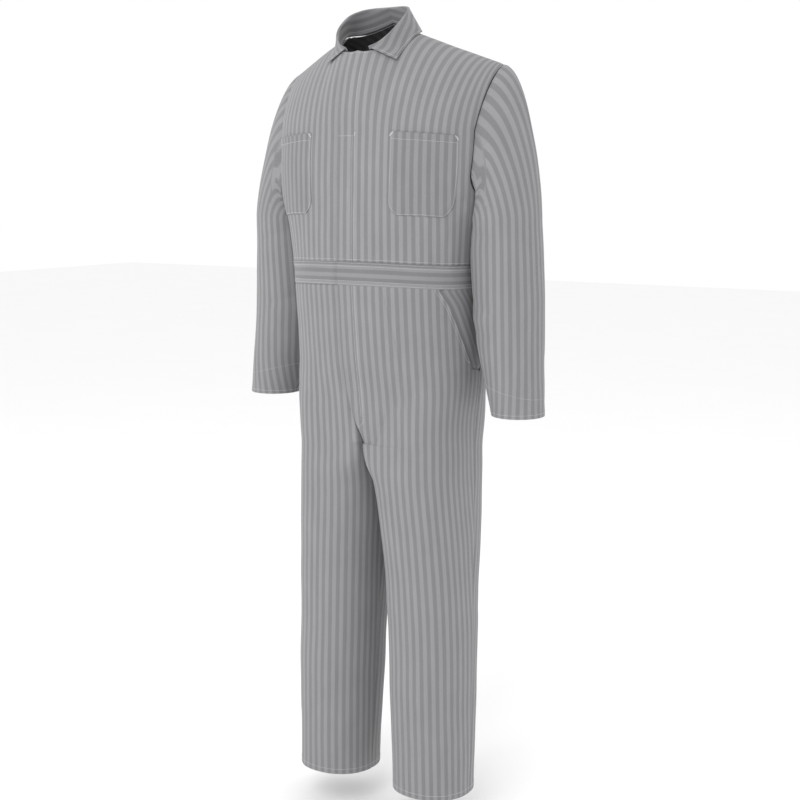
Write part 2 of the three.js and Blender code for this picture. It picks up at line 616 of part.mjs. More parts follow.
// Folded collar: from the neck seam up the stand, over the roll and down the leaf
const COLLAR_WALL = 1.8;
const COLLAR_COLUMNS = 36;
const COLLAR_FOOT = { inside: 1.5, above: 2 };
const FOLD_RADIUS = { ofHeight: 1 / 6, least: 1.2, most: 3 };
function collarSection(angle, t) {
  const side = Math.sign(angle) || 1;
  const read = (column) => reading(COLLAR, 'angle', Math.abs(angle), column);
  const neckAngle = neckColumn(Math.abs(angle));
  const seam = bodice(neckAngle, 1);
  const outward = new THREE.Vector3(Math.sin(radians(angle)) * side, -Math.cos(radians(angle)), 0);
  const foot = seam.clone().addScaledVector(outward, -COLLAR_FOOT.inside);
  foot.z += COLLAR_FOOT.above;
  const top = new THREE.Vector3(read('foldX'), read('foldY'), read('foldZ'));
  const edge = new THREE.Vector3(read('edgeX'), read('edgeY'), read('edgeZ'));
  const radius = clamp((top.z - foot.z) * FOLD_RADIUS.ofHeight, FOLD_RADIUS.least, FOLD_RADIUS.most);
  top.z -= radius;
  let p;
  if (t <= 1) {
    p = foot.clone().lerp(top.clone().addScaledVector(outward, -radius), t);
  } else if (t <= 2) {
    const turn = radians(180 * (t - 1));
    p = top.clone().addScaledVector(outward, -radius * Math.cos(turn));
    p.z += radius * Math.sin(turn);
  } else {
    p = top.clone().addScaledVector(outward, radius).lerp(edge, t - 2);
  }
  p.x *= side;
  return p;
}

// Bodice column that meets the neckline at an angle round the neck
function neckColumn(angle) {
  const power = 2 / (angle <= 90 ? NECK.frontPower : NECK.backPower);
  const x = NECK.halfWidth * Math.pow(Math.sin(radians(angle)), power) / (1 + SHOULDER_FLARE);
  const column = angleAtX(x, YOKE_Z);
  return angle <= 90 ? column : 180 - column;
}

function collar() {
  const start = COLLAR[0].angle;
  const angles = steps(start, 360 - start, COLLAR_COLUMNS);
  const ts = [...steps(0, 1, 3), ...steps(1, 2, 4).slice(1), ...steps(2, 3, 4).slice(1)];
  const rows = ts.map((t) => angles.map((angle) => collarSection(angle > 180 ? angle - 360 : angle, t)));
  const normals = gridNormals(rows, (p) => new THREE.Vector3(p.x, p.y - NECK.centreY, 0));
  return clothWall(rows, normals, COLLAR_WALL, false);
}

// Normals of an open grid of points; the first row's normal turns to the neck's inside
function gridNormals(rows, outward) {
  const lastRow = rows.length - 1;
  const lastColumn = rows[0].length - 1;
  const flip = rows.map((row, r) => row.map((p, c) => {
    const alongU = row[Math.min(c + 1, lastColumn)].clone().sub(row[Math.max(c - 1, 0)]);
    const alongV = rows[Math.min(r + 1, lastRow)][c].clone().sub(rows[Math.max(r - 1, 0)][c]);
    return alongU.cross(alongV).normalize();
  }));
  const middle = Math.floor(lastColumn / 2);
  const inside = flip[1][middle].dot(outward(rows[1][middle])) > 0;
  return flip.map((row) => row.map((n) => (inside ? n.negate() : n)));
}

const suit = new THREE.Group();
function add(name, geometry, material = CLOTH_LIGHT) {
  const mesh = new THREE.Mesh(geometry, material);
  mesh.name = name;
  suit.add(mesh);
}

add('left_front', bodiceFront(1));
add('right_front', bodiceFront(-1));
add('back', back());
add('waistband_left', waistbandFront(1), CLOTH_DARK);
add('waistband_right', waistbandFront(-1), CLOTH_DARK);
add('waistband_back', waistbandBack(), CLOTH_DARK);
add('left_chest_pocket', chestPocket(1), CLOTH_DARK);
add('right_chest_pocket', chestPocket(-1), CLOTH_DARK);
add('left_hip_pocket', hipPocket(1), CLOTH_DARK);
add('right_hip_pocket', hipPocket(-1), CLOTH_DARK);
add('collar', collar(), CLOTH_DARK);
for (const [name, side] of [['left', 1], ['right', -1]]) {
  const tube = sleeve();
  if (side < 0) {
    tube.scale(-1, 1, 1);
    facingOut(tube);
  }
  add(`${name}_sleeve`, tube);
  add(`${name}_leg_front`, legFront(side));
  add(`${name}_leg_back`, legBack(side));
}

export default suit;
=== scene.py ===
"""The looks of a herringbone boiler suit, worn with nobody inside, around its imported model."""
import math

import bpy
import numpy as np
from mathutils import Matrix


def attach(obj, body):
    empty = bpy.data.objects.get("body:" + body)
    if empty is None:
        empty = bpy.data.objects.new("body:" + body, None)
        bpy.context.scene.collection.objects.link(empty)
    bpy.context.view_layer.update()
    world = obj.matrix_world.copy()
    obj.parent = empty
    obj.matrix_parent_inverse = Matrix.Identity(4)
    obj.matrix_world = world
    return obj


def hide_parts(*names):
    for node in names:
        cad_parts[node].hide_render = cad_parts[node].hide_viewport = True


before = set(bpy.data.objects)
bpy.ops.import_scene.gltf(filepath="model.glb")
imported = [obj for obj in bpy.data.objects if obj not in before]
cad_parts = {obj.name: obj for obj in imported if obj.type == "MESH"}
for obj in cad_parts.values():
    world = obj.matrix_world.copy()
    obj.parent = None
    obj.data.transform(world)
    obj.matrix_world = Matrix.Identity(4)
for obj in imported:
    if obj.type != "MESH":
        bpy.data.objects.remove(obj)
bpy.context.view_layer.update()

# The suit's form in millimetres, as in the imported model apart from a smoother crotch, longer
# hip pocket panels and slightly slimmer sleeves
LAP_STEP = 2.7                      # how far a lapped piece lies below the one over it
SHOULDER_X, SHOULDER_Y, SHOULDER_Z = 245, 12, 8
SHOULDER_SLOPE = 20.9               # degrees
YOKE_Z, ARMPIT_Z = -118, -250
NECK_HALF_WIDTH, NECK_CENTRE_Y, NECK_FRONT, NECK_BACK = 74, -42, 94, 38
NECK_FRONT_POWER, NECK_BACK_POWER = 2.3, 2
ROUNDING_CENTRE, ROUNDING_FRONT, ROUNDING_BACK = 2.1, 1.57, 2.1
ROUNDING_BLEND_FROM, ROUNDING_BLEND_OVER = 4, 14
SHOULDER_FLARE = 0.04
WAIST_TOP, WAIST_BOTTOM, WAIST_SIDE_DROP, WAIST_LIFT = -368, -414, 8, 0.8
HIP_Z, CROTCH_Z, CROTCH_POWER = -595, -736, 4
HEM_Z, HEM_RISE, CUFF_Z = -1482, 7, -668
INNER_WALL_SHARE, INNER_WALL_WIDTH, INNER_WALL_EVEN_BY = 0.17, 0.03, 0.8
SIDE_SEAM = 97                      # section angle of the side seam below the waist
FLY_EDGE_X, FLY_STRAIGHT_TO, FLY_BUTT_Z, FLY_END_Z = -22, -560, -675, -717
FLY_UNDERLAP, FLY_LOW_UNDERLAP, FLY_STEP_AWAY, FLY_STEP_WIDTH = 40, 6, 3, 9
FLY_STEP_KNOTS = (0.14, 0.2)
POCKET_CENTRE, POCKET_HALF_ANGLE, POCKET_TOP_DROP, POCKET_BOTTOM_DROP = 39.5, 20, 9, 3
POCKET_TOP, POCKET_BOTTOM, POCKET_CORNER, POCKET_NARROWING, POCKET_LIFT = -120, -277, 0.18, 0.5, 1.6
MOUTH_UNDERLAP, MOUTH_FOLD_ANGLE, MOUTH_LOW_Z, MOUTH_CLOSE_BY, MOUTH_PANEL_END = 6, 8, -576, 14, -608
PIT_LEVEL, YOKE_LEVEL = 0.3, 0.55
ARMHOLE_FRONT, ARMHOLE_BACK, ARMHOLE_AT_RIDGE, ARMHOLE_DEEP_LEVEL = 21, 18, 10, 0.14
SLEEVE_TOP_Z = -290
CAP_START_OUT, CAP_START_DROP, CAP_TOP_PULL, CAP_PIT_PULL, CAP_TUBE_PULL = 0.96, 0.31, 196, 25, 172
CAP_BACK_LEAN = 0.16
BODY_CLEARANCE = 3
COLLAR_FOOT_INSIDE, COLLAR_FOOT_ABOVE = 1.5, 2
FOLD_RADIUS_LEAST, FOLD_RADIUS_MOST = 1.2, 3

# height, half width, front y, back y, power of the rounded section
TORSO = np.array([
    [-118, 236, -170, 130, 2.3], [-180, 237, -174, 137, 2.3], [-250, 230, -176, 140, 2.3],
    [-312, 214, -177, 140, 2.3], [-370, 203, -177, 138, 2.3], [-430, 200, -176, 138, 2.3],
    [-560, 199, -164, 138, 2.3], [-640, 197, -152, 129, 2.35], [-736, 186, -141, 117, 2.5]])
# height, centre x, centre y, radius x, radius y, power on the outer and on the inner side
LEG = np.array([
    [-560, 97, -13, 97, 150, 3, 3], [-736, 93, -12, 92.5, 129, 2.6, 10], [-800, 94, -13, 93, 128, 2.5, 4],
    [-840, 96, -15, 93, 124, 2.45, 2.8], [-945, 103, -20, 91, 113, 2.4, 2.4],
    [-1100, 111, -27, 88, 101, 2.25, 2.25], [-1320, 116.5, -33, 85, 95, 2.2, 2.2],
    [-1490, 119.5, -37, 81.5, 89, 2.2, 2.2]])
# height, section angle of the leg front's free edge at the hip pocket
POCKET_MOUTH = np.array([[-418, 57], [-445, 64], [-468, 68], [-500, 73], [-580, 86.0]])
# height, centre x, centre y, radius x, radius y
SLEEVE = np.array([
    [-290, 258, -6, 71, 80], [-385, 262, -5, 72, 77], [-468, 268, -5, 70, 73],
    [-544, 277.5, -9, 64.5, 69], [-600, 286.5, -13, 58.5, 64], [-668, 298, -18, 52, 54.0]])
# angle round the neck from the front, fold x, y, z, free edge x, y, z
COLLAR = np.array([
    [17, 26, -136, 42, 80, -122, 17], [33, 44, -130, 50, 82, -108, 28.5],
    [50, 58, -118, 64, 84.5, -90, 45], [70, 68, -96, 86, 87.5, -66, 62.5],
    [90, 68, -65, 109, 87, -40, 73], [120, 56, -39, 122, 67, -6, 79],
    [150, 35, -24, 127, 38, 13, 87], [180, 0, -18, 128, 0, 20, 92.0]])


def mix(a, b, t):
    return a + (b - a) * t


def side_angle(level):
    return mix(SIDE_SEAM, 90, np.clip(level / PIT_LEVEL, 0, 1))


def smooth(t):
    c = np.clip(t, 0, 1)
    return c * c * (3 - 2 * c)


def signed_power(value, power):
    return np.sign(value) * np.abs(value) ** power


def xyz(x, y, z):
    return np.stack(np.broadcast_arrays(x, y, z), -1).astype(float)


def cubic(t, start, leaving, end, arriving):
    """A smooth run between two values with a given slope at each."""
    t2, t3 = t * t, t * t * t
    return ((2 * t3 - 3 * t2 + 1) * start + (t3 - 2 * t2 + t) * leaving
            + (3 * t2 - 2 * t3) * end + (t3 - t2) * arriving)


def reading(rows, key, column):
    """A smooth reading of one column of a table at values of its first column."""
    keys, values = rows[:, 0], rows[:, column]
    way, last = np.sign(keys[1] - keys[0]), len(keys) - 1
    i = np.searchsorted(way * keys[1:-1], way * np.asarray(key, float), side="left")
    before, after = np.maximum(np.arange(last + 1) - 1, 0), np.minimum(np.arange(last + 1) + 1, last)
    slope = (values[after] - values[before]) / (keys[after] - keys[before])
    span = keys[i + 1] - keys[i]
    t = np.clip((key - keys[i]) / span, 0, 1)
    return cubic(t, values[i], span * slope[i], values[i + 1], span * slope[i + 1])


def torso_section(z, angle):
    """A point of the body's section; the angle runs from the front over the left side to the back."""
    half, front, rear, power = (reading(TORSO, z, k) for k in (1, 2, 3, 4))
    a = np.radians(angle)
    x = half * signed_power(np.sin(a), 2 / power)
    y = (front + rear) / 2 - (rear - front) / 2 * signed_power(np.cos(a), 2 / power)
    return xyz(x, y, z)


def leg_section(z, angle):
    centre_x, centre_y, radius_x, radius_y = (reading(LEG, z, k) for k in (1, 2, 3, 4))
    a = np.radians(angle)
    power = np.where(np.sin(a) < 0, reading(LEG, z, 6), reading(LEG, z, 5))
    return xyz(centre_x + radius_x * signed_power(np.sin(a), 2 / power),
               centre_y - radius_y * signed_power(np.cos(a), 2 / power), z)


def waist_drop(angle):
    return -WAIST_SIDE_DROP * np.sin(np.radians(angle)) ** 2


def ridge_z(x):
    return SHOULDER_Z + (SHOULDER_X - np.abs(x)) * math.tan(math.radians(SHOULDER_SLOPE))


def ridge_y(x):
    return mix(NECK_CENTRE_Y, SHOULDER_Y,
               smooth((np.abs(x) - NECK_HALF_WIDTH) / (SHOULDER_X - NECK_HALF_WIDTH)))


def rounding_at(angle):
    away = smooth((np.abs(angle) - ROUNDING_BLEND_FROM) / ROUNDING_BLEND_OVER)
    front = mix(ROUNDING_CENTRE, ROUNDING_FRONT, away)
    return np.where(np.abs(angle) > 90, ROUNDING_BACK, front)


def neck_turn(angle):
    """Turn from the yoke line (0) to the ridge (90 degrees) at which a column meets the neckline."""
    is_front = np.abs(angle) <= 90
    foot = torso_section(np.full(np.shape(angle), float(YOKE_Z)), angle)
    reach = np.abs(foot[..., 0]) * (1 + SHOULDER_FLARE) / NECK_HALF_WIDTH
    power = np.where(is_front, NECK_FRONT_POWER, NECK_BACK_POWER)
    depth = (1 - np.minimum(reach, 1) ** power) ** (1 / power)
    y = NECK_CENTRE_Y + np.where(is_front, -NECK_FRONT, NECK_BACK) * depth
    part = np.clip((y - NECK_CENTRE_Y) / (foot[..., 1] - NECK_CENTRE_Y + 1e-9), 0, 1)
    return np.where(reach >= 1, 90, np.degrees(np.arccos(part ** (rounding_at(angle) / 2))))


def level_z(angle, level):
    low = mix(WAIST_TOP + waist_drop(angle), ARMPIT_Z, level / PIT_LEVEL)
    return np.where(level <= PIT_LEVEL, low,
                    mix(ARMPIT_Z, YOKE_Z, (level - PIT_LEVEL) / (YOKE_LEVEL - PIT_LEVEL)))


def bodice(angle, level):
    """Level 0 is the waist seam, PIT_LEVEL the armpit, 1 the neckline or the ridge."""
    angle, level = np.broadcast_arrays(np.asarray(angle, float), np.asarray(level, float))
    low = torso_section(np.minimum(level_z(angle, level), YOKE_Z), angle)
    foot = torso_section(np.full(angle.shape, float(YOKE_Z)), angle)
    rounding = 2 / rounding_at(angle)
    turn = np.radians(neck_turn(angle) * np.maximum(level - YOKE_LEVEL, 0) / (1 - YOKE_LEVEL))
    rise = np.sin(turn) ** rounding
    x = foot[..., 0] * (1 + SHOULDER_FLARE * rise)
    y = mix(ridge_y(x), foot[..., 1], np.maximum(np.cos(turn), 0) ** rounding)
    high = xyz(x, y, mix(YOKE_Z, ridge_z(x), rise))
    return np.where((level <= YOKE_LEVEL)[..., None], low, high)


def angle_at_x(x, z):
    part = np.asarray(x) / reading(TORSO, z, 1)
    return np.degrees(np.arcsin(np.clip(signed_power(part, reading(TORSO, z, 4) / 2), -1, 1)))


NECK_POINT_ANGLE = float(angle_at_x(NECK_HALF_WIDTH / (1 + SHOULDER_FLARE), YOKE_Z))


def armhole_cut(level, deep):
    s = np.clip((level - PIT_LEVEL) / (1 - PIT_LEVEL), 0, 1)
    early = deep * np.sqrt(1 - (1 - np.minimum(s / ARMHOLE_DEEP_LEVEL, 1)) ** 2)
    return np.where(s < ARMHOLE_DEEP_LEVEL, early,
                    mix(deep, ARMHOLE_AT_RIDGE, (s - ARMHOLE_DEEP_LEVEL) / (1 - ARMHOLE_DEEP_LEVEL)))


def fly_x(z):
    t = np.clip((FLY_STRAIGHT_TO - z) / (FLY_STRAIGHT_TO - FLY_END_Z), 0, 1)
    return FLY_EDGE_X * (1 - t * t)


def underlap_at(z):
    low = np.clip((z - FLY_BUTT_Z) / (HIP_Z - FLY_BUTT_Z), 0, 1)
    return mix(FLY_LOW_UNDERLAP * low, FLY_UNDERLAP, smooth((z - HIP_Z) / 50))


def fly_knots(side, z):
    edge = fly_x(z)
    if side > 0:
        return [(0.0, angle_at_x(edge, z))]
    return [(0.0, angle_at_x(-(edge + underlap_at(z)), z)),
            (FLY_STEP_KNOTS[0], angle_at_x(-(edge - FLY_STEP_AWAY - 0.5), z)),
            (FLY_STEP_KNOTS[1], angle_at_x(-(edge - FLY_STEP_AWAY - FLY_STEP_WIDTH + 0.5), z))]


def across_angle(knots, across, end):
    knots = [*knots, (1.0, end)]
    angle = knots[0][1] + 0 * across
    for (a0, angle0), (a1, angle1) in zip(knots, knots[1:]):
        angle = np.where(across >= a0, mix(angle0, angle1, (across - a0) / (a1 - a0)), angle)
    return angle


def below_fly(p):
    """The lapped piece lies lower beside and below the fly edge of the left front."""
    near = smooth((p[..., 0] - fly_x(p[..., 2]) + FLY_STEP_AWAY) / FLY_STEP_WIDTH + 1)
    fade = smooth((p[..., 2] - FLY_END_Z) / (FLY_BUTT_Z - FLY_END_Z))
    p[..., 1] += LAP_STEP * near * fade
    return p


def mirrored(p):
    return p * np.array([-1.0, 1, 1])


def on_side(side, p):
    return p if side > 0 else below_fly(mirrored(p))


def front_angle(side, u, level):
    """u 0 is the front edge, 1 the neck point, 2 the side seam or armhole."""
    knots = fly_knots(side, np.minimum(level_z(90.0, level), YOKE_Z))
    inner = across_angle([(3 * a, angle) for a, angle in knots], np.minimum(u, 1), NECK_POINT_ANGLE)
    outer = mix(NECK_POINT_ANGLE, side_angle(level) - armhole_cut(level, ARMHOLE_FRONT), u - 1)
    return np.where(u > 1, outer, inner)


def back_angle(u, level):
    far = np.abs(u)
    side_end = 180 - side_angle(level) - armhole_cut(level, ARMHOLE_BACK)
    angle = np.where(far <= 1, mix(0, NECK_POINT_ANGLE, far), mix(NECK_POINT_ANGLE, side_end, far - 1))
    return 180 - angle


def back_surface(u, level):
    p = bodice(back_angle(u, level), level)
    p[..., 0] *= np.where(u < 0, -1, 1)
    return p


def waist_surface(angle, v):
    return torso_section(mix(WAIST_BOTTOM, WAIST_TOP, v) + waist_drop(angle), angle)


def leg_front_end(z):
    slanted = reading(POCKET_MOUTH, z, 1)
    end_z, end_angle = POCKET_MOUTH[-1]
    return np.where(z < end_z, mix(end_angle, SIDE_SEAM, smooth((end_z - z) / MOUTH_CLOSE_BY)), slanted)


def place_round(across, v):
    """Place round the leg: the wall between the legs takes few columns at the crotch."""
    crowded = INNER_WALL_SHARE * (1 - smooth((v - 1) / INNER_WALL_EVEN_BY))
    return across + crowded * (1 - across) * (1 - np.exp(-across / INNER_WALL_WIDTH))


def leg_surface(is_front, side, across, v):
    """v is -1 at the waist seam, 0 where the crotch curve starts, 1 at the crotch, 2 at the hem."""
    across, v = np.broadcast_arrays(np.asarray(across, float), np.asarray(v, float))
    leg_angle = mix(-90 if is_front else 270, SIDE_SEAM, place_round(across, v))
    low = leg_section(mix(CROTCH_Z, HEM_Z, np.maximum(v, 1) - 1), leg_angle)
    low[..., 2] += HEM_RISE * np.cos(np.radians(leg_angle)) * np.maximum(v - 1, 0) ** 3
    turn = np.radians(90 * np.clip(v, 0, 1))
    plain_z = np.where(v < 0, mix(WAIST_BOTTOM, HIP_Z, 1 + v),
                       mix(HIP_Z, CROTCH_Z, np.sin(turn) ** (2 / CROTCH_POWER)))
    late = np.where(v < 0, 0, 1 - np.maximum(np.cos(turn), 0) ** (2 / CROTCH_POWER))
    if is_front:
        hip_angle = across_angle(fly_knots(side, plain_z), across, leg_front_end(plain_z))
    else:
        hip_angle = mix(180, SIDE_SEAM, across)
    z = np.where(v < 0, plain_z + waist_drop(hip_angle) * -v, plain_z)
    early = smooth((z - LEG[0, 0]) / (CROTCH_Z - LEG[0, 0]))
    blend = mix(late, early, smooth(across * 2))[..., None]
    high = mix(torso_section(z, hip_angle), leg_section(z, leg_angle), blend)
    return np.where((v >= 1)[..., None], low, high)


def hip_pocket_surface(u, v):
    z = mix(WAIST_BOTTOM, MOUTH_PANEL_END, v)
    mouth = leg_front_end(z)
    angle = mix(mouth - MOUTH_UNDERLAP, SIDE_SEAM, u)
    p = torso_section(z + waist_drop(angle) * (1 - v), angle)
    early = smooth((z - LEG[0, 0]) / (CROTCH_Z - LEG[0, 0]))[..., None]
    p = mix(p, leg_section(z, angle), early)
    opened = smooth((angle - mouth) / MOUTH_FOLD_ANGLE)
    closed = smooth((MOUTH_LOW_Z - z) / MOUTH_CLOSE_BY)
    inward = xyz(-p[..., 0], -20 - p[..., 1], 0)
    inward /= np.linalg.norm(inward, axis=-1, keepdims=True)
    return p + inward * (LAP_STEP * np.maximum(1 - opened, closed))[..., None]


def chest_pocket_angle(u, v):
    low = np.clip((POCKET_CORNER - v) / POCKET_CORNER, 0, 1)
    return POCKET_CENTRE + u * POCKET_HALF_ANGLE * np.sqrt(1 - low * low * POCKET_NARROWING)


def level_at(z):
    low = (z - WAIST_TOP) / (ARMPIT_Z - WAIST_TOP) * PIT_LEVEL
    return np.where(z < ARMPIT_Z, low, mix(PIT_LEVEL, YOKE_LEVEL, (z - ARMPIT_Z) / (YOKE_Z - ARMPIT_Z)))


def chest_pocket_surface(u, v):
    drop = mix(POCKET_BOTTOM_DROP, POCKET_TOP_DROP, v) * (u + 1) / 2
    z = mix(POCKET_BOTTOM, POCKET_TOP, v) - drop
    return bodice(chest_pocket_angle(u, v), level_at(z))


def clear_of_body(p):
    half, front, rear, power = (reading(TORSO, p[..., 2], k) for k in (1, 2, 3, 4))
    part = np.minimum(np.abs(p[..., 1] - (front + rear) / 2) / ((rear - front) / 2), 1)
    reach = half * (1 - part ** power) ** (1 / power) + BODY_CLEARANCE
    softness = 6
    excess = np.minimum((p[..., 0] - reach) / softness, 40)
    out = p.copy()
    out[..., 0] = np.where(part >= 1, p[..., 0], reach + softness * np.log1p(np.exp(excess)))
    return np.where((excess >= 40)[..., None], p, out)


def sleeve_section(z, angle):
    centre_x, centre_y, radius_x, radius_y = (reading(SLEEVE, z, k) for k in (1, 2, 3, 4))
    a = np.radians(angle)
    return clear_of_body(xyz(centre_x + radius_x * np.cos(a), centre_y - radius_y * np.sin(a), z))


def armhole_ring(levels):
    """Points round the left armhole from the ridge: down the front edge and up the back edge."""
    front = bodice(90 - armhole_cut(levels, ARMHOLE_FRONT), levels)[::-1]
    rear = bodice(90 + armhole_cut(levels, ARMHOLE_BACK), levels)
    return np.concatenate([front, rear[1:-1]])


def cap_points(ring, angles, t):
    centre = ring.mean(0)
    inward = centre - ring
    start = ring + inward / np.linalg.norm(inward, axis=-1, keepdims=True) * 0.3 + [0.3, 0, 0]
    end = sleeve_section(np.full(len(angles), float(SLEEVE_TOP_Z)), angles)
    top = (1 + np.cos(np.radians(angles))) / 2
    leaving = xyz(CAP_START_OUT, 0, -mix(1, CAP_START_DROP, top))
    leaving *= mix(CAP_PIT_PULL, CAP_TOP_PULL, top)[:, None]
    lean = 1 - CAP_BACK_LEAN * np.sin(np.radians(angles)) * top
    arriving = xyz(0, 0, -mix(CAP_PIT_PULL, CAP_TUBE_PULL, top) * lean)
    return cubic(np.asarray(t, float)[:, None, None], start, leaving, end, arriving)


def neck_column(angle):
    """Bodice column that meets the neckline at an angle round the neck."""
    power = np.where(angle <= 90, NECK_FRONT_POWER, NECK_BACK_POWER)
    x = NECK_HALF_WIDTH * np.sin(np.radians(angle)) ** (2 / power) / (1 + SHOULDER_FLARE)
    column = angle_at_x(x, YOKE_Z)
    return np.where(angle <= 90, column, 180 - column)


def collar_surface(angle, t):
    """From the neck seam (0) up the stand (1), over the fold (2) and down the leaf (3)."""
    angle, t = np.broadcast_arrays(np.asarray(angle, float), np.asarray(t, float))
    side, far = np.where(angle < 0, -1.0, 1.0), np.abs(angle)
    top = xyz(*(reading(COLLAR, far, k) for k in (1, 2, 3)))
    edge = xyz(*(reading(COLLAR, far, k) for k in (4, 5, 6)))
    seam = bodice(neck_column(far), np.ones_like(far))
    outward = xyz(np.sin(np.radians(far)), -np.cos(np.radians(far)), 0)
    foot = seam - outward * COLLAR_FOOT_INSIDE + [0, 0, COLLAR_FOOT_ABOVE]
    radius = np.clip((top[..., 2:] - foot[..., 2:]) / 6, FOLD_RADIUS_LEAST, FOLD_RADIUS_MOST)
    top = top - radius * np.array([0, 0, 1.0])
    turn = np.pi * np.clip(t - 1, 0, 1)[..., None]
    stand = mix(foot, top - outward * radius, np.clip(t, 0, 1)[..., None])
    roll = top - outward * radius * np.cos(turn) + radius * np.sin(turn) * np.array([0, 0, 1.0])
    leaf = mix(top + outward * radius, edge, np.clip(t - 2, 0, 1)[..., None])
    p = np.where((t <= 1)[..., None], stand, np.where((t <= 2)[..., None], roll, leaf))
    p[..., 0] *= side
    return p


# The cloth itself, in millimetres
CELL, LEG_CELL, FINE_CELL = 4.6, 4.9, 3.6   # mesh size of panels, legs and small pieces
CLOTH = 0.9                         # thickness of one layer with its seam allowance
BAND = 8.0                          # width of a herringbone stripe
SEAM_DEPTH, SEAM_REACH = 1.3, 3.2   # how a sewn edge rolls in
TURNED = 0.7                        # extra thickness of a turned hem
BAND_LIFT, SECOND_LAYER = 0.3, 0.9  # the waistband, of two layers, stands above its neighbours
PUCKER = {"height": 0.16, "wave": 2.6, "slow_wave": 9.7, "from_edge": 5, "reach": 4}
HEM = {"lift": 0.3, "fade": 2.5, "dip": 0.45, "dip_reach": 1.6}

# Creases of each part, a row for each one: section angle and z of its start, its middle and its
# end, half width, height above the cloth
BODY_CREASES = {
    "torso": [
        (52, -372, 50, -340, 47, -306, 9, -1.5), (64, -374, 63, -338, 59, -300, 11, 1.6),
        (74, -372, 74, -330, 70, -284, 9, -1.6), (30, -372, 31, -350, 29, -322, 8, 1.0),
        (-36, -372, -38, -342, -35, -312, 9, -1.2), (-58, -374, -56, -334, -50, -292, 11, 1.5),
        (-71, -372, -69, -326, -62, -280, 10, -1.5), (66, -232, 56, -262, 44, -292, 12, 0.9),
        (-65, -226, -54, -254, -45, -284, 12, 0.9), (66, -170, 56, -150, 45, -134, 12, -1.0),
        (-66, -176, -57, -158, -47, -144, 13, -1.1), (112, -236, 124, -262, 140, -284, 12, -2.0),
        (108, -258, 121, -284, 136, -304, 11, 1.7), (-110, -230, -122, -252, -139, -270, 12, -1.8),
        (-107, -262, -118, -290, -131, -312, 11, 1.8), (150, -372, 151, -332, 148, -290, 10, 1.8),
        (166, -372, 164, -340, 165, -306, 9, -1.6), (-157, -372, -155, -328, -158, -286, 10, -1.8),
        (-172, -372, -174, -344, -172, -318, 9, 1.5), (130, -374, 131, -346, 127, -318, 9, -1.3),
        (-134, -374, -133, -336, -128, -304, 9, 1.4), (26, -640, 38, -622, 56, -610, 11, -1.1),
        (22, -668, 36, -660, 50, -656, 9, 1.0), (-24, -650, -38, -636, -55, -626, 11, -1.2),
        (-20, -676, -34, -668, -47, -668, 9, 0.9), (158, -640, 146, -618, 128, -602, 12, -1.8),
        (-160, -648, -148, -630, -131, -616, 12, -1.7), (163, -676, 150, -662, 134, -652, 10, 1.6),
        (-162, -684, -151, -674, -137, -668, 10, 1.5),
    ],
    "left_leg": [
        (150, -800, 168, -812, 192, -806, 11, -1.6), (138, -1008, 166, -1022, 196, -1014, 12, -2.0),
        (142, -1052, 170, -1040, 200, -1046, 11, 1.5), (128, -1096, 156, -1088, 184, -1094, 12, -1.6),
        (-70, -790, -46, -812, -22, -826, 11, -0.9), (12, -1060, 16, -1160, 10, -1260, 20, 0.8),
        (62, -1380, 66, -1430, 64, -1490, 14, -0.9),
    ],
    "right_leg": [
        (146, -812, 165, -826, 188, -822, 11, -1.5), (134, -1020, 160, -1036, 190, -1028, 12, -1.9),
        (146, -1070, 172, -1060, 198, -1068, 11, 1.5), (130, -1118, 154, -1108, 180, -1112, 12, -1.5),
        (-72, -800, -50, -818, -26, -830, 11, -0.9), (-6, -1040, -10, -1150, -4, -1250, 20, 0.8),
        (44, -1370, 47, -1430, 45, -1490, 14, -0.9),
    ],
}
SLEEVE_CREASES = {
    "left": [
        (128, -300, 104, -318, 74, -326, 11, -1.4), (236, -296, 262, -312, 290, -318, 12, -2.0),
        (232, -330, 258, -346, 284, -350, 11, 1.6), (150, -438, 122, -452, 92, -458, 11, -1.5),
        (156, -474, 130, -480, 104, -478, 10, 1.2), (152, -508, 126, -504, 98, -512, 11, -1.2),
        (208, -452, 236, -462, 262, -458, 12, -1.5), (330, -560, 338, -600, 334, -640, 12, -0.8),
    ],
    "right": [
        (130, -306, 108, -322, 80, -332, 11, -1.3), (234, -300, 260, -318, 288, -322, 12, -1.9),
        (230, -338, 256, -350, 280, -356, 11, 1.5), (148, -446, 120, -462, 94, -466, 11, -1.5),
        (154, -486, 128, -490, 100, -488, 10, 1.2), (206, -462, 234, -474, 262, -468, 12, -1.6),
        (28, -560, 24, -604, 30, -650, 12, -0.8),
    ],
}
CREASE_HALF_LENGTH = 80             # with 6 half widths, how far from its middle a crease acts
# Slow rolling of the cloth: wave length along z, along x and y, height, phase
ROLLING = [(330, 240, 0.45, 0.4), (210, -300, 0.4, 2.1), (150, 190, 0.22, 4.0), (96, -140, 0.12, 1.2)]


def crease_line(place, ends):
    """The crease's line on the form, as 3-D points."""
    marks = np.linspace(0, 2, 9)
    angle, z = (np.interp(marks, [0, 1, 2], ends[k::2]) for k in (0, 1))
    section = {"torso": torso_section, "arm": sleeve_section}.get(place, leg_section)
    line = section(z, angle)
    return mirrored(line) if place == "right_leg" else line


def distance_to_line(points, line):
    """Distance of each point to a line of short stretches."""
    nearest = np.full(points.shape[:-1], np.inf)
    for a, b in zip(line, line[1:]):
        along = b - a
        t = np.clip((points - a) @ along / (along @ along), 0, 1)
        nearest = np.minimum(nearest, np.linalg.norm(points - a - t[..., None] * along, axis=-1))
    return nearest


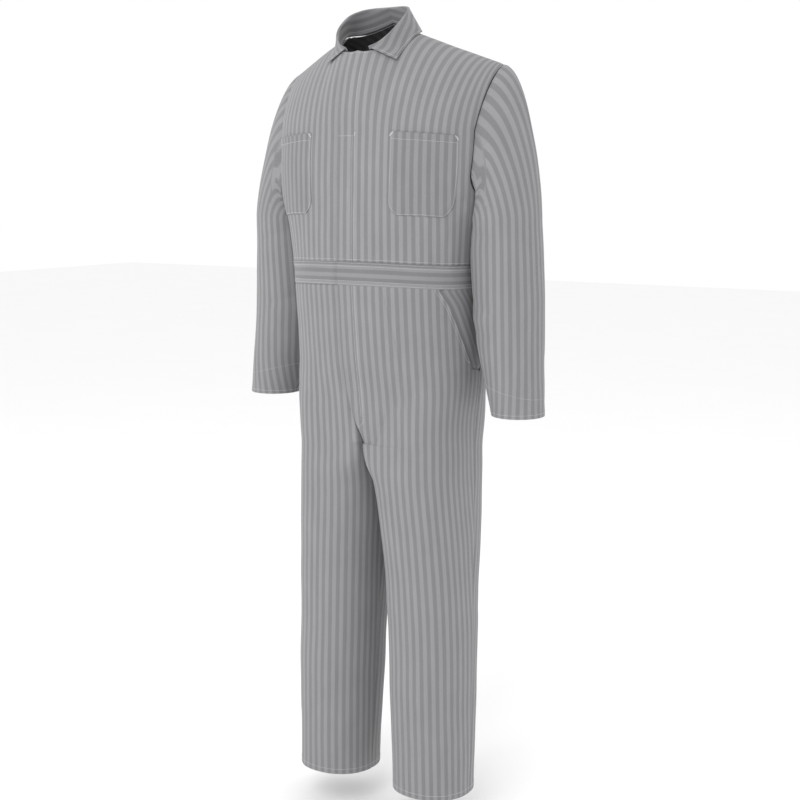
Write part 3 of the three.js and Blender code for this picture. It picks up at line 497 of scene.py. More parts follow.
def relief(points, creases):
    """How far the cloth stands above its form: slow rolling and the listed creases."""
    x, y, z = points[..., 0], points[..., 1], points[..., 2]
    height = np.zeros(x.shape)
    for along, across, amount, phase in ROLLING:
        height += amount * np.sin(2 * np.pi * (z / along + (x + 0.8 * y) / across) + phase)
    for place, rows in creases.items():
        for *ends, width, amount in rows:
            line = crease_line(place, ends)
            near = np.linalg.norm(points - line[len(line) // 2], axis=-1) < 6 * width + CREASE_HALF_LENGTH
            if near.any():
                height[near] += amount * np.exp(-(distance_to_line(points[near], line) / width) ** 2)
    return height


# Grids over the form
def step_lengths(points, axis):
    return np.linalg.norm(np.diff(points, axis=axis), axis=-1)


def running_length(points, axis):
    """Length along the grid lines of one direction, from their first point."""
    total = np.cumsum(step_lengths(points, axis), axis=axis)
    return np.concatenate([np.zeros_like(total.take([0], axis=axis)), total], axis=axis)


def places(lengths, values, cell):
    """Values a cell apart along a line, with closer ones beside its ends."""
    total = lengths[-1]
    inner = np.linspace(SEAM_REACH, total - SEAM_REACH, max(round(total / cell), 2))
    marks = np.concatenate([[0, SEAM_REACH / 3], inner, [total - SEAM_REACH / 3, total]])
    return np.interp(marks, lengths, values)


def grid_places(surface, u_range, v_range, cell=CELL, extra_v=()):
    """The grid's values of u, as one row, and of v, as one column."""
    us, vs = np.linspace(*u_range, 181), np.linspace(*v_range, 181)
    points = surface(us[None, :], vs[:, None])
    across = np.concatenate([[0], np.cumsum(step_lengths(points, 1).mean(0))])
    along = np.concatenate([[0], np.cumsum(step_lengths(points, 0).mean(1))])
    rows = places(along, vs, cell)
    rows = np.unique(np.round(np.concatenate([rows, extra_v]), 6))
    return places(across, us, cell)[None, :], rows[:, None]


class Piece:
    """A cloth piece: the grid on the form, its outer surface and its cloth coordinates."""

    def __init__(self, name, base, outward, closed=False):
        self.name, self.base, self.closed = name, base, closed
        self.rows, self.columns = base.shape[:2]
        wrapped = np.concatenate([base[:, -1:], base, base[:, :1]], 1) if closed else base
        along_u = np.gradient(wrapped, axis=1)
        along_u = along_u[:, 1:-1] if closed else along_u
        normal = np.cross(along_u, np.gradient(base, axis=0))
        normal /= np.linalg.norm(normal, axis=-1, keepdims=True) + 1e-12
        turn = np.sign((normal * outward(base)).sum(-1, keepdims=True))
        self.normal = normal * np.where(turn == 0, 1, turn)
        self.from_left = running_length(base, 1)
        self.from_low = running_length(base, 0)
        self.from_right = self.from_left[:, -1:] - self.from_left
        self.from_top = self.from_low[-1:] - self.from_low
        self.height = np.zeros(base.shape[:2])
        self.thickness = np.full(base.shape[:2], CLOTH)
        self.cloth = None

    def edge(self, which):
        return {"l": self.from_left, "r": self.from_right, "b": self.from_low, "t": self.from_top}[which]

    def roll(self, edges, depth=SEAM_DEPTH):
        """Sewn edges turn in, with a little puckering beside them."""
        for which in edges:
            distance = self.edge(which)
            self.height -= depth * (1 - smooth(distance / SEAM_REACH))
            run = self.from_left if which in "bt" else self.from_low
            near = np.exp(-((distance - PUCKER["from_edge"]) / PUCKER["reach"]) ** 2)
            pucker = np.sin(run / PUCKER["wave"]) * np.sin(run / PUCKER["slow_wave"] + 1.0) * near
            self.height += PUCKER["height"] * pucker

    def turn_hem(self, edges, width):
        """A turned edge is thicker, with a shallow dip along its stitching."""
        for which in edges:
            distance = self.edge(which)
            inside = 1 - smooth((distance - width) / HEM["fade"])
            self.height += HEM["lift"] * inside
            self.height -= HEM["dip"] * np.exp(-((distance - width) / HEM["dip_reach"]) ** 2)
            self.thickness += TURNED * inside

    def outer(self):
        return self.base + self.normal * self.height[..., None]

    def at(self, row, column, above=0.0):
        """Point and normal of the outer surface at fractional rows and columns."""
        row, column = np.broadcast_arrays(np.asarray(row, float), np.asarray(column, float))
        if self.closed:
            column = column % self.columns
        else:
            column = np.clip(column, 0, self.columns - 1)
        row = np.clip(row, 0, self.rows - 1)
        r0 = np.minimum(row.astype(int), self.rows - 2)
        c0 = column.astype(int) if self.closed else np.minimum(column.astype(int), self.columns - 2)
        c1 = (c0 + 1) % self.columns
        t, s = (row - r0)[..., None], (column - c0)[..., None]

        def blend(grid):
            return mix(mix(grid[r0, c0], grid[r0, c1], s), mix(grid[r0 + 1, c0], grid[r0 + 1, c1], s), t)

        normal = blend(self.normal)
        normal /= np.linalg.norm(normal, axis=-1, keepdims=True)
        return blend(self.outer()) + normal * above, normal


def quads_of_grid(rows, columns, closed):
    r = np.arange(rows - 1)[:, None]
    c = np.arange(columns if closed else columns - 1)[None, :]
    after = (c + 1) % columns
    return np.stack(np.broadcast_arrays(r * columns + c, r * columns + after,
                                        (r + 1) * columns + after, (r + 1) * columns + c), -1).reshape(-1, 4)


def add_mesh(name, points, faces, material, uv=None, sharp=50):
    """A mesh object from points in millimetres; uv is a coordinate for each point in metres."""
    mesh = bpy.data.meshes.new(name)
    mesh.from_pydata((points * 0.001).tolist(), [], faces.tolist())
    mesh.materials.append(material)
    if uv is not None:
        layer = mesh.uv_layers.new(name="cloth")
        corner = np.empty(len(mesh.loops), dtype=np.int32)
        mesh.loops.foreach_get("vertex_index", corner)
        layer.data.foreach_set("uv", (uv[corner] * 0.001).ravel())
    mesh.shade_smooth()
    mesh.set_sharp_from_angle(angle=math.radians(sharp))
    obj = bpy.data.objects.new(name, mesh)
    bpy.context.scene.collection.objects.link(obj)
    return obj


def shell(piece, material):
    """Closed thin shell of a piece: outer and inner layer, joined along the edges."""
    outer = piece.outer()
    inner = outer - piece.normal * piece.thickness[..., None]
    points = np.concatenate([outer.reshape(-1, 3), inner.reshape(-1, 3)])
    rows, columns, layer = piece.rows, piece.columns, piece.rows * piece.columns
    front = quads_of_grid(rows, columns, piece.closed)
    rims = []
    c = np.arange(columns if piece.closed else columns - 1)
    after = (c + 1) % columns
    top = (rows - 1) * columns
    rims.append(np.stack([c, c + layer, after + layer, after], -1))
    rims.append(np.stack([after + top, after + top + layer, c + top + layer, c + top], -1))
    if not piece.closed:
        r = np.arange(rows - 1) * columns
        rims.append(np.stack([r + columns, r + columns + layer, r + layer, r], -1))
        r = r + columns - 1
        rims.append(np.stack([r, r + layer, r + columns + layer, r + columns], -1))
    faces = np.concatenate([front, front[:, ::-1] + layer, *rims])
    normal = np.cross(outer[1, 0] - outer[0, 0], outer[0, 1] - outer[0, 0])
    if normal @ piece.normal[0, 0] > 0:
        faces = faces[:, ::-1]
    uv = np.concatenate([piece.cloth.reshape(-1, 2)] * 2)
    obj = add_mesh(piece.name + "_cloth", points, faces, material, uv)
    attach(obj, "root")
    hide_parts(piece.name)
    return obj


# Materials
class Nodes:
    """Short way to build a node tree."""

    def __init__(self, material):
        material.use_nodes = True
        self.tree = material.node_tree
        self.shader = self.tree.nodes["Principled BSDF"]

    def add(self, kind, settings=(), **inputs):
        node = self.tree.nodes.new(kind)
        for key, value in dict(settings).items():
            setattr(node, key, value)
        for key, value in inputs.items():
            self.feed(node, key.replace("_", " "), value)
        return node

    def feed(self, node, key, value):
        """Link a socket, by name or number, or set its value."""
        if isinstance(value, bpy.types.NodeSocket):
            self.tree.links.new(value, node.inputs[key])
        else:
            node.inputs[key].default_value = value

    def math(self, operation, *values, clamp=False):
        node = self.add("ShaderNodeMath", {"operation": operation, "use_clamp": clamp})
        for i, value in enumerate(values):
            self.feed(node, i, value)
        return node.outputs[0]

    def mix_colour(self, factor, a, b):
        node = self.add("ShaderNodeMix", {"data_type": "RGBA"})
        for key, value in ((0, factor), (6, a), (7, b)):
            self.feed(node, key, value)
        return node.outputs[2]

    def stretched_noise(self, vector, scale_u, scale_v, *settings):
        stretched = self.add("ShaderNodeMapping", Vector=vector, Scale=(scale_u, scale_v, 1))
        return self.noise(stretched.outputs[0], *settings)

    def noise(self, vector, scale, detail=2.0, roughness=0.5):
        node = self.add("ShaderNodeTexNoise", {"noise_dimensions": "3D"}, Vector=vector, Scale=scale,
                        Detail=detail, Roughness=roughness)
        return node.outputs["Fac"]


def grey(value):
    return (value, value, value * 1.035, 1)


LIGHT_BAND, DARK_BAND = 0.262, 0.196      # reflectance of the two stripes
PITCH = 2.1                               # length of one herringbone rib along the cloth, in millimetres


def herringbone(name, tone=1.0):
    """Woven stripes: ribs that turn at each stripe's edge, slubs along both yarns and a soft nap."""
    material = bpy.data.materials.new(name)
    n = Nodes(material)
    cloth = n.add("ShaderNodeUVMap", {"uv_map": "cloth"}).outputs[0]
    parts = n.add("ShaderNodeSeparateXYZ", Vector=cloth)
    u = n.math("MULTIPLY", parts.outputs[0], 1000.0)
    v = n.math("MULTIPLY", parts.outputs[1], 1000.0)
    warp_slub = n.stretched_noise(cloth, 2600, 260, 1.0)
    weft_slub = n.stretched_noise(cloth, 300, 2400, 1.0)
    grain = n.stretched_noise(cloth, 1000, 1000, 0.9, 3.0, 0.7)
    cloud = n.stretched_noise(cloth, 1000, 400, 0.035)

    wander = n.math("MULTIPLY_ADD", n.math("SUBTRACT", cloud, 0.5), 1.2, u)
    fold = n.math("PINGPONG", wander, BAND)
    turn = n.math("PINGPONG", n.math("ADD", wander, BAND / 2), BAND)
    stripe = n.math("MULTIPLY_ADD", n.math("SUBTRACT", turn, BAND / 2), 0.9, 0.5, clamp=True)
    rib_at = n.math("MULTIPLY", n.math("ADD", v, fold), 2 * math.pi / PITCH)
    rib = n.math("MULTIPLY_ADD", n.math("SINE", rib_at), 0.5, 0.5)

    # A tone below 1 darkens the whole cloth; the trim copy uses it as painted shade
    band = n.mix_colour(stripe, grey(DARK_BAND * tone), grey(LIGHT_BAND * tone))
    shade = n.math("MULTIPLY_ADD", rib, 0.26, 0.87)
    for part, contrast, least in ((warp_slub, 0.36, 0.82), (weft_slub, 0.24, 0.88), (grain, 0.5, 0.75),
                                  (cloud, 0.16, 0.92)):
        shade = n.math("MULTIPLY", shade, n.math("MULTIPLY_ADD", part, contrast, least))
    colour = n.add("ShaderNodeVectorMath", {"operation": "SCALE"})
    n.feed(colour, 0, band)
    n.feed(colour, "Scale", shade)
    n.feed(n.shader, "Base Color", colour.outputs[0])

    high = n.math("MULTIPLY_ADD", warp_slub, 0.5, n.math("MULTIPLY", rib, 0.8))
    high = n.math("MULTIPLY_ADD", grain, 0.5, high)
    bump = n.add("ShaderNodeBump", Strength=0.55, Distance=0.0003, Height=high)
    n.feed(n.shader, "Normal", bump.outputs[0])
    n.feed(n.shader, "Roughness", n.math("MULTIPLY_ADD", grain, 0.14, 0.82))
    n.feed(n.shader, "Specular IOR Level", 0.25)
    n.feed(n.shader, "Sheen Weight", 0.18)
    n.feed(n.shader, "Sheen Roughness", 0.45)
    return material


def thread_material():
    """Pale twisted sewing thread."""
    material = bpy.data.materials.new("sewing_thread")
    n = Nodes(material)
    where = n.add("ShaderNodeTexCoord").outputs["Object"]
    fine = n.noise(where, 2200.0, 2.0)
    slow = n.noise(where, 90.0, 2.0)
    tone = n.math("MULTIPLY_ADD", slow, 0.5, n.math("MULTIPLY", fine, 0.5))
    n.feed(n.shader, "Base Color", n.mix_colour(tone, (0.40, 0.40, 0.41, 1), (0.66, 0.66, 0.66, 1)))
    n.feed(n.shader, "Roughness", n.math("MULTIPLY_ADD", fine, 0.2, 0.55))
    bump = n.add("ShaderNodeBump", Strength=0.4, Distance=0.0001, Height=fine)
    n.feed(n.shader, "Normal", bump.outputs[0])
    return material


CLOTH_MATERIAL = herringbone("herringbone_cotton")
# Painted shade: the trim cloth is the same cloth made 7 % darker to stand for the collar's self shadow; the
# waistband and the pockets get it too
SHADED_TRIM_MATERIAL = herringbone("herringbone_trim_painted_shade", tone=0.93)
THREAD_MATERIAL = thread_material()

# Stitching
STITCH_LENGTH, STITCH_PITCH, STITCH_RADIUS = 2.3, 3.1, 0.4
STITCH_SIDES = 5
BAR_PITCH, BAR_WIDTH, BAR_RADIUS = 0.55, 2.2, 0.34
STITCH_RINGS = ((-0.5, 0.35, -0.9), (-0.28, 1.0, 0.1), (0.28, 1.0, 0.1), (0.5, 0.35, -0.9))


class Stitching:
    """All stitches on one piece."""

    def __init__(self, piece):
        self.piece, self.centres, self.ways, self.normals, self.sizes = piece, [], [], [], []

    def line(self, row, column, radius=STITCH_RADIUS):
        """A row of stitches through fractional grid places."""
        points, normals = self.piece.at(row, column)
        run = np.concatenate([[0], np.cumsum(step_lengths(points, 0))])
        count = int(run[-1] / STITCH_PITCH)
        if count < 1:
            return
        marks = (np.arange(count) + 0.5) * run[-1] / count

        def sample(values, at):
            return np.stack([np.interp(at, run, values[:, k]) for k in range(3)], -1)

        reach = 0.4 * STITCH_LENGTH
        way = sample(points, marks + reach) - sample(points, marks - reach)
        self.centres.append(sample(points, marks))
        self.ways.append(way / np.linalg.norm(way, axis=-1, keepdims=True))
        self.normals.append(sample(normals, marks))
        self.sizes.append(np.tile([STITCH_LENGTH, radius], (count, 1)))

    def from_edge(self, which, offset, start=0.0, stop=0.0):
        """A row at an offset from an edge, leaving out a length at its start and its end."""
        piece = self.piece
        upright = which in "lr"
        distance = piece.edge(which) if upright else piece.edge(which).T
        index, places_across = (np.arange(n, dtype=float) for n in distance.shape)
        order = slice(None) if which in "lb" else slice(None, None, -1)
        place = np.array([np.interp(offset, line[order], places_across[order]) for line in distance])
        run = piece.at(*((index, place) if upright else (place, index)))[0]
        length = np.concatenate([[0], np.cumsum(step_lengths(run, 0))])
        keep = np.linspace(start, length[-1] - stop, len(index) * 2)
        index, place = np.interp(keep, length, index), np.interp(keep, length, place)
        if piece.closed and not upright:
            index, place = np.append(index, index[-1] + 1), np.append(place, place[-1])
        self.line(*((index, place) if upright else (place, index)))

    def bar(self, row, column):
        """A bartack: a short dense row of stitches across its line."""
        points, normals = self.piece.at(row, column)
        way = points[-1] - points[0]
        length = np.linalg.norm(way)
        count = max(int(length / BAR_PITCH), 2)
        across = np.cross(normals[0], way / length)
        marks = (np.arange(count) + 0.5) / count
        self.centres.append(points[0] + marks[:, None] * way)
        self.ways.append(np.tile(across, (count, 1)))
        self.normals.append(np.tile(normals[0], (count, 1)))
        self.sizes.append(np.tile([BAR_WIDTH, BAR_RADIUS], (count, 1)))

    def build(self):
        centres, ways, normals, sizes = (np.concatenate(v) for v in
                                         (self.centres, self.ways, self.normals, self.sizes))
        sides = np.cross(normals, ways)
        turns = np.arange(STITCH_SIDES) * 2 * np.pi / STITCH_SIDES
        points = []
        for along, wide, lift in STITCH_RINGS:
            radius = sizes[:, 1:] * wide
            centre = centres + ways * (along * sizes[:, :1]) + normals * (lift * sizes[:, 1:])
            for turn in turns:
                points.append(centre + (sides * math.cos(turn) + normals * math.sin(turn)) * radius)
        points = np.stack(points, 1)
        rings, k = len(STITCH_RINGS), STITCH_SIDES
        one = [[r * k + i, r * k + (i + 1) % k, (r + 1) * k + (i + 1) % k, (r + 1) * k + i]
               for r in range(rings - 1) for i in range(k)]
        offsets = np.arange(len(centres)) * rings * k
        faces = (np.array(one)[None] + offsets[:, None, None]).reshape(-1, 4)
        ends = np.array([list(range(k))[::-1], [(rings - 1) * k + i for i in range(k)]])
        caps = (ends[None] + offsets[:, None, None]).reshape(-1, k)
        mesh = bpy.data.meshes.new(self.piece.name + "_stitching")
        mesh.from_pydata((points.reshape(-1, 3) * 0.001).tolist(), [], faces.tolist() + caps.tolist())
        mesh.materials.append(THREAD_MATERIAL)
        mesh.shade_smooth()
        obj = bpy.data.objects.new(mesh.name, mesh)
        bpy.context.scene.collection.objects.link(obj)
        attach(obj, "root")
        return obj


# Cloth coordinates in millimetres: u across the stripes, v along them
ARC_ANGLES = np.arange(0, 182.0, 2)
ARC_HEIGHTS = np.arange(CROTCH_Z, YOKE_Z + 1, 6.18)


def arc_table():
    points = torso_section(ARC_HEIGHTS[:, None], ARC_ANGLES[None, :])
    return running_length(points, 1)


ARC_LENGTHS = arc_table()


def torso_arc(z, angle):
    """Length round the body from the centre front, at a height."""
    row = np.clip((z - ARC_HEIGHTS[0]) / (ARC_HEIGHTS[1] - ARC_HEIGHTS[0]), 0, len(ARC_HEIGHTS) - 1.001)
    column = np.clip(np.abs(angle) / 2, 0, len(ARC_ANGLES) - 1.001)
    r, c = row.astype(int), column.astype(int)
    t, s = row - r, column - c
    return np.sign(angle) * mix(mix(ARC_LENGTHS[r, c], ARC_LENGTHS[r, c + 1], s),
                                mix(ARC_LENGTHS[r + 1, c], ARC_LENGTHS[r + 1, c + 1], s), t)


def bodice_cloth(piece, angle, level, side=1):
    z = np.minimum(level_z(angle, level), YOKE_Z)
    u = torso_arc(z, angle) * side
    return np.stack([u, piece.base[:1, :, 2] + piece.from_low], -1)


def leg_cloth(piece, side):
    """Stripes run down the middle of the leg."""
    z = piece.base[..., 2]
    middle = np.where(z > CROTCH_Z, LEG[1, 1], reading(LEG, np.minimum(z, CROTCH_Z), 1))
    u = np.empty(z.shape)
    for r in range(piece.rows):
        x = piece.base[r, :, 0] * side
        last = int(np.argmax(x)) + 1
        at_middle = np.interp(middle[r, last // 2], x[:last], piece.from_left[r, :last])
        u[r] = (piece.from_left[r] - at_middle) * side
    return np.stack([u, -piece.from_top + HEM_Z], -1)


def grid_cloth(piece):
    """Stripes run along the piece's length, as on the waistband and the collar."""
    return np.stack([piece.from_low, piece.from_left], -1)


# Directions that point out of the suit
def from_spine(points):
    return xyz(points[..., 0], points[..., 1] + 20, np.maximum(points[..., 2], 0))


def from_leg(side):
    return lambda points: xyz(points[..., 0] - side * 100, points[..., 1] + 40, 0)


def side_name(side):
    return "left" if side > 0 else "right"


def turned(side, surface):
    """The surface itself on the left side, and its mirror image on the right one."""
    return surface if side > 0 else lambda u, v: mirrored(surface(u, v))


# The pieces
def pit_levels():
    """Levels of the rows where the armhole turns."""
    deep = mix(PIT_LEVEL, 1, ARMHOLE_DEEP_LEVEL)
    return mix(PIT_LEVEL, deep, 1 - np.cos(np.radians(np.arange(6, 90, 6.0))))


def bodice_front(side):
    def surface(u, level):
        return on_side(side, bodice(front_angle(side, u, level), level))

    u, level = grid_places(surface, (0, 2), (0, 1), extra_v=pit_levels())
    piece = Piece(f"{side_name(side)}_front", surface(u, level), from_spine)
    piece.cloth = bodice_cloth(piece, front_angle(side, u, level), level, side)
    piece.height += relief(piece.base, BODY_CREASES)
    piece.roll("rbt" if side > 0 else "rt")
    return piece


def bodice_back():
    u, level = grid_places(back_surface, (-2, 2), (0, 1), extra_v=pit_levels())
    piece = Piece("back", back_surface(u, level), from_spine)
    piece.cloth = bodice_cloth(piece, back_angle(u, level), level)
    piece.cloth[..., 0] = (torso_arc(np.full(1, YOKE_Z), np.full(1, 180.0)) - piece.cloth[..., 0]) \
        * np.where(u < 0, -1, 1)
    piece.height += relief(piece.base, BODY_CREASES)
    piece.roll("lrbt")
    return piece


def waistband(name, surface):
    piece = Piece(name, surface(*grid_places(surface, (0, 1), (0, 1), cell=FINE_CELL)), from_spine)
    piece.cloth = grid_cloth(piece)
    piece.height += relief(piece.base, BODY_CREASES) + WAIST_LIFT + BAND_LIFT
    piece.thickness += SECOND_LAYER
    piece.roll("bt", depth=0.9)
    piece.height += 0.25 * np.sin(piece.from_left / 3.4) * np.sin(piece.from_left / 17) \
        * np.exp(-((piece.from_low - 23) / 14) ** 2)
    return piece


def waistband_front(side):
    def surface(u, v):
        angle = across_angle(fly_knots(side, np.float64(WAIST_TOP)), u, SIDE_SEAM)
        return on_side(side, waist_surface(angle, v))

    piece = waistband(f"waistband_{side_name(side)}", surface)
    piece.roll("r")
    return piece


def waistband_back():
    piece = waistband("waistband_back", lambda u, v: waist_surface(mix(360 - SIDE_SEAM, SIDE_SEAM, u), v))
    piece.roll("lr")
    return piece


def chest_pocket(side):
    surface = turned(side, chest_pocket_surface)
    u, v = grid_places(surface, (-1, 1), (0, 1), cell=FINE_CELL)
    piece = Piece(f"{side_name(side)}_chest_pocket", surface(u, v), from_spine)
    z = piece.base[..., 2]
    piece.cloth = np.stack([torso_arc(z, chest_pocket_angle(u, v) + 0 * z) * side + 3.0, z], -1)
    piece.height += relief(piece.base, BODY_CREASES) + POCKET_LIFT
    piece.thickness += 0.4
    edge = np.minimum(np.minimum(piece.from_left, piece.from_right), piece.from_low)
    piece.height -= 0.7 * (1 - smooth(edge / 1.6)) + 0.5 * np.exp(-((edge - 3.2) / 1.2) ** 2)
    hem = piece.from_top
    piece.height += 0.35 * (1 - smooth((hem - 13) / 2)) - 0.5 * np.exp(-((hem - 13.5) / 1.2) ** 2)
    piece.height += 0.8 * np.exp(-(hem / 9) ** 2) * np.sin(np.pi * piece.from_left / piece.from_left[:, -1:])
    return piece


def hip_pocket(side):
    surface = turned(side, hip_pocket_surface)
    base = surface(*grid_places(surface, (0, 1), (0, 1)))
    piece = Piece(f"{side_name(side)}_hip_pocket", base, from_spine)
    piece.cloth = np.stack([piece.from_left * side + 5, piece.base[..., 2]], -1)
    piece.height += relief(piece.base, BODY_CREASES)
    piece.roll("r")
    return piece


def leg_places(surface):
    """Places on a leg panel, closer where the crotch curve turns."""
    extra = np.concatenate([np.arange(0.02, 0.2, 0.02), np.arange(0.8, 1.0, 0.04)])
    return grid_places(surface, (0, 1), (-1, 2), cell=LEG_CELL, extra_v=extra)


def leg_panel(side, is_front):
    def surface(across, v):
        p = leg_surface(is_front, side, across, v)
        if is_front:
            return on_side(side, p)
        return p if side > 0 else mirrored(p)

    name = f"{side_name(side)}_leg_{'front' if is_front else 'back'}"
    piece = Piece(name, surface(*leg_places(surface)), from_leg(side))
    piece.cloth = leg_cloth(piece, side)
    piece.height += relief(piece.base, BODY_CREASES)
    return piece


def leg_front(side):
    piece = leg_panel(side, True)
    mouth = smooth((piece.base[..., 2] - POCKET_MOUTH[-1, 0] + 10) / 14)
    piece.roll("b" if side < 0 else "")
    sewn = np.where(mouth > 0.5, 0, 1)
    piece.height -= SEAM_DEPTH * (1 - smooth(piece.from_right / SEAM_REACH)) * sewn
    inseam = smooth((FLY_END_Z - piece.base[..., 2]) / 12)
    piece.height -= SEAM_DEPTH * (1 - smooth(piece.from_left / SEAM_REACH)) * inseam
    piece.height -= 0.4 * np.exp(-((piece.from_right - 8) / 1.4) ** 2) * mouth
    return piece


def leg_back(side):
    piece = leg_panel(side, False)
    piece.roll("lr")
    return piece


CAD_RING_STEPS, CAD_PIT_STEPS = 15, 5


def ring_level(place):
    """Armhole level at a place on the ring, from 0 at the armpit to 15 at the ridge."""
    deep = mix(PIT_LEVEL, 1, ARMHOLE_DEEP_LEVEL)
    turn = np.radians(90 * np.minimum(place / CAD_PIT_STEPS, 1))
    rest = (place - CAD_PIT_STEPS) / (CAD_RING_STEPS - CAD_PIT_STEPS)
    return np.where(place < CAD_PIT_STEPS, mix(PIT_LEVEL, deep, 1 - np.cos(turn)), mix(deep, 1, rest))


SLEEVE_COLUMNS = 2 * 4 * CAD_RING_STEPS


def sleeve(side):
    place = np.arange(SLEEVE_COLUMNS // 2 + 1) * CAD_RING_STEPS / (SLEEVE_COLUMNS // 2)
    ring = armhole_ring(ring_level(place))
    angles = np.arange(SLEEVE_COLUMNS) * 360.0 / SLEEVE_COLUMNS
    cap = cap_points(ring, angles, np.concatenate([[0, 0.004, 0.012], np.linspace(0.03, 1, 38)]))
    marks = np.concatenate([np.arange(SLEEVE_TOP_Z - 4.5, CUFF_Z + 2, -4.5), [CUFF_Z + 1.0, CUFF_Z]])
    tube = sleeve_section(marks[:, None], angles[None, :])
    base = np.concatenate([cap, tube])[::-1]
    name = f"{side_name(side)}_sleeve"
    centre = base.mean(1, keepdims=True)
    piece = Piece(name, base, outward=lambda points: points - centre, closed=True)
    piece.cloth = sleeve_cloth(piece, angles)
    piece.height += relief(base, {"arm": SLEEVE_CREASES[side_name(side)]})
    piece.roll("t", depth=1.5)
    gap = np.abs(angles - 180) * np.pi / 180 * 70
    below = smooth((piece.from_low.max() - piece.from_low) / 30)
    piece.height -= 1.0 * np.exp(-(gap[None, :] / 2.6) ** 2) * below
    piece.turn_hem("b", 15)
    if side < 0:
        piece.base, piece.normal = mirrored(piece.base), mirrored(piece.normal)
        piece.cloth[..., 0] *= -1
    return piece


def sleeve_cloth(piece, angles):
    """Stripes run down the sleeve, straight up to the shoulder seam."""
    y = piece.base[..., 1]
    low, high = y.min(1, keepdims=True), y.max(1, keepdims=True)
    radius = (high - low) / 2
    turn = np.degrees(np.arcsin(np.clip(((high + low) / 2 - y) / radius, -1, 1)))
    turn = np.where((angles > 90) & (angles < 180), 180 - turn, turn)
    turn = np.where((angles >= 180) & (angles < 270), -180 - turn, turn)
    return np.stack([np.radians(turn) * radius, piece.from_low], -1)


COLLAR_START = COLLAR[0, 0]


def collar():
    def surface(u, t):
        angle = mix(COLLAR_START, 360 - COLLAR_START, u)
        return collar_surface(np.where(angle > 180, angle - 360, angle), t)

    us = np.sort(np.concatenate([np.linspace(0, 1, 111), [0.003, 0.997]]))
    ts = np.concatenate([np.linspace(0, 1, 11), np.linspace(1, 2, 9)[1:], np.linspace(2, 3, 13)[1:], [2.97]])
    ts = np.sort(ts)
    piece = Piece("collar", surface(us[None, :], ts[:, None]), np.zeros_like)
    piece.levels = ts
    if piece.normal[4, len(us) // 2, 1] > 0:
        piece.normal = -piece.normal
    piece.cloth = grid_cloth(piece)
    piece.thickness += 0.5
    leaf = ts[:, None] >= 2
    edge = np.where(leaf, np.minimum(np.minimum(piece.from_left, piece.from_right), piece.from_top), 99)
    piece.height -= 0.5 * np.exp(-((edge - 4.5) / 1.3) ** 2) + 0.3 * (1 - smooth(edge / 1.5))
    return piece


# Where stitching runs, in millimetres
FLY_STITCH_X, FLY_STITCH_GAP = 17, 5.5
FLY_BAR_Z = -127
SLEEVE_STITCH, LEG_STITCH, LEG_HEM = 7.5, 11, 16
BODICE_STITCH, COLLAR_STITCH, POCKET_STITCH, POCKET_HEM_STITCH = 4.5, 4.5, 3.2, 13.5
WAISTBAND_STITCH = (2.6, 8.6)
CUFF_LINE = {"inner": 68, "outer": 36}


def column_at_x(piece, x, rows):
    """Fractional columns where a piece's rows reach a given x."""
    columns = np.arange(piece.columns, dtype=float)
    return np.array([np.interp(x, piece.base[int(r), :, 0], columns) for r in rows])


def stitch_fly(lines, piece, low, high, offsets=(0, FLY_STITCH_GAP)):
    """Upright rows beside the fly edge of the left front, between two heights."""
    z = piece.base[:, 0, 2]
    rows = np.flatnonzero((z > low) & (z < high)).astype(float)
    for offset in offsets:
        x = FLY_STITCH_X - offset
        lines.line(rows, column_at_x(piece, x, rows))


def row_at_z(piece, column, z):
    heights = piece.base[:, int(column), 2]
    return float(np.interp(z, heights, np.arange(piece.rows)))


def stitch_front(piece, side):
    lines = Stitching(piece)
    lines.from_edge("t", BODICE_STITCH, start=3, stop=235)
    if side > 0:
        stitch_fly(lines, piece, -400, FLY_BAR_Z)
        stitch_fly(lines, piece, FLY_BAR_Z, 120, offsets=(0,))
        row = row_at_z(piece, 4, FLY_BAR_Z)
        columns = np.linspace(0.4, float(column_at_x(piece, FLY_STITCH_X, [row])[0]), 12)
        lines.line(np.full(12, row), columns)
        lines.bar(np.array([row, row + 1.4]), np.repeat(columns[-1], 2))
    lines.from_edge("b", BODICE_STITCH, start=2, stop=2)
    return lines


def stitch_rows(piece, *rows):
    """Rows beside edges: the edge, the offset, and the length left out at its start and its end."""
    lines = Stitching(piece)
    for row in rows:
        lines.from_edge(*row)
    return lines


def stitch_waistband(piece):
    return stitch_rows(piece, *((which, offset, 1.5, 1.5) for which in "bt" for offset in WAISTBAND_STITCH))


def stitch_chest_pocket(piece):
    lines = stitch_rows(piece, ("l", POCKET_STITCH, 3, 2), ("r", POCKET_STITCH, 3, 2),
                        ("b", POCKET_STITCH, 4, 4), ("t", POCKET_HEM_STITCH, 3, 3))
    last_row, last = piece.rows - 1.0, piece.columns - 1.0
    for near, far in ((0.4, 3.2), (last - 0.4, last - 3.2)):
        lines.bar(np.array([last_row - 0.3, last_row - 3.4]), np.array([far, near]))
    return lines


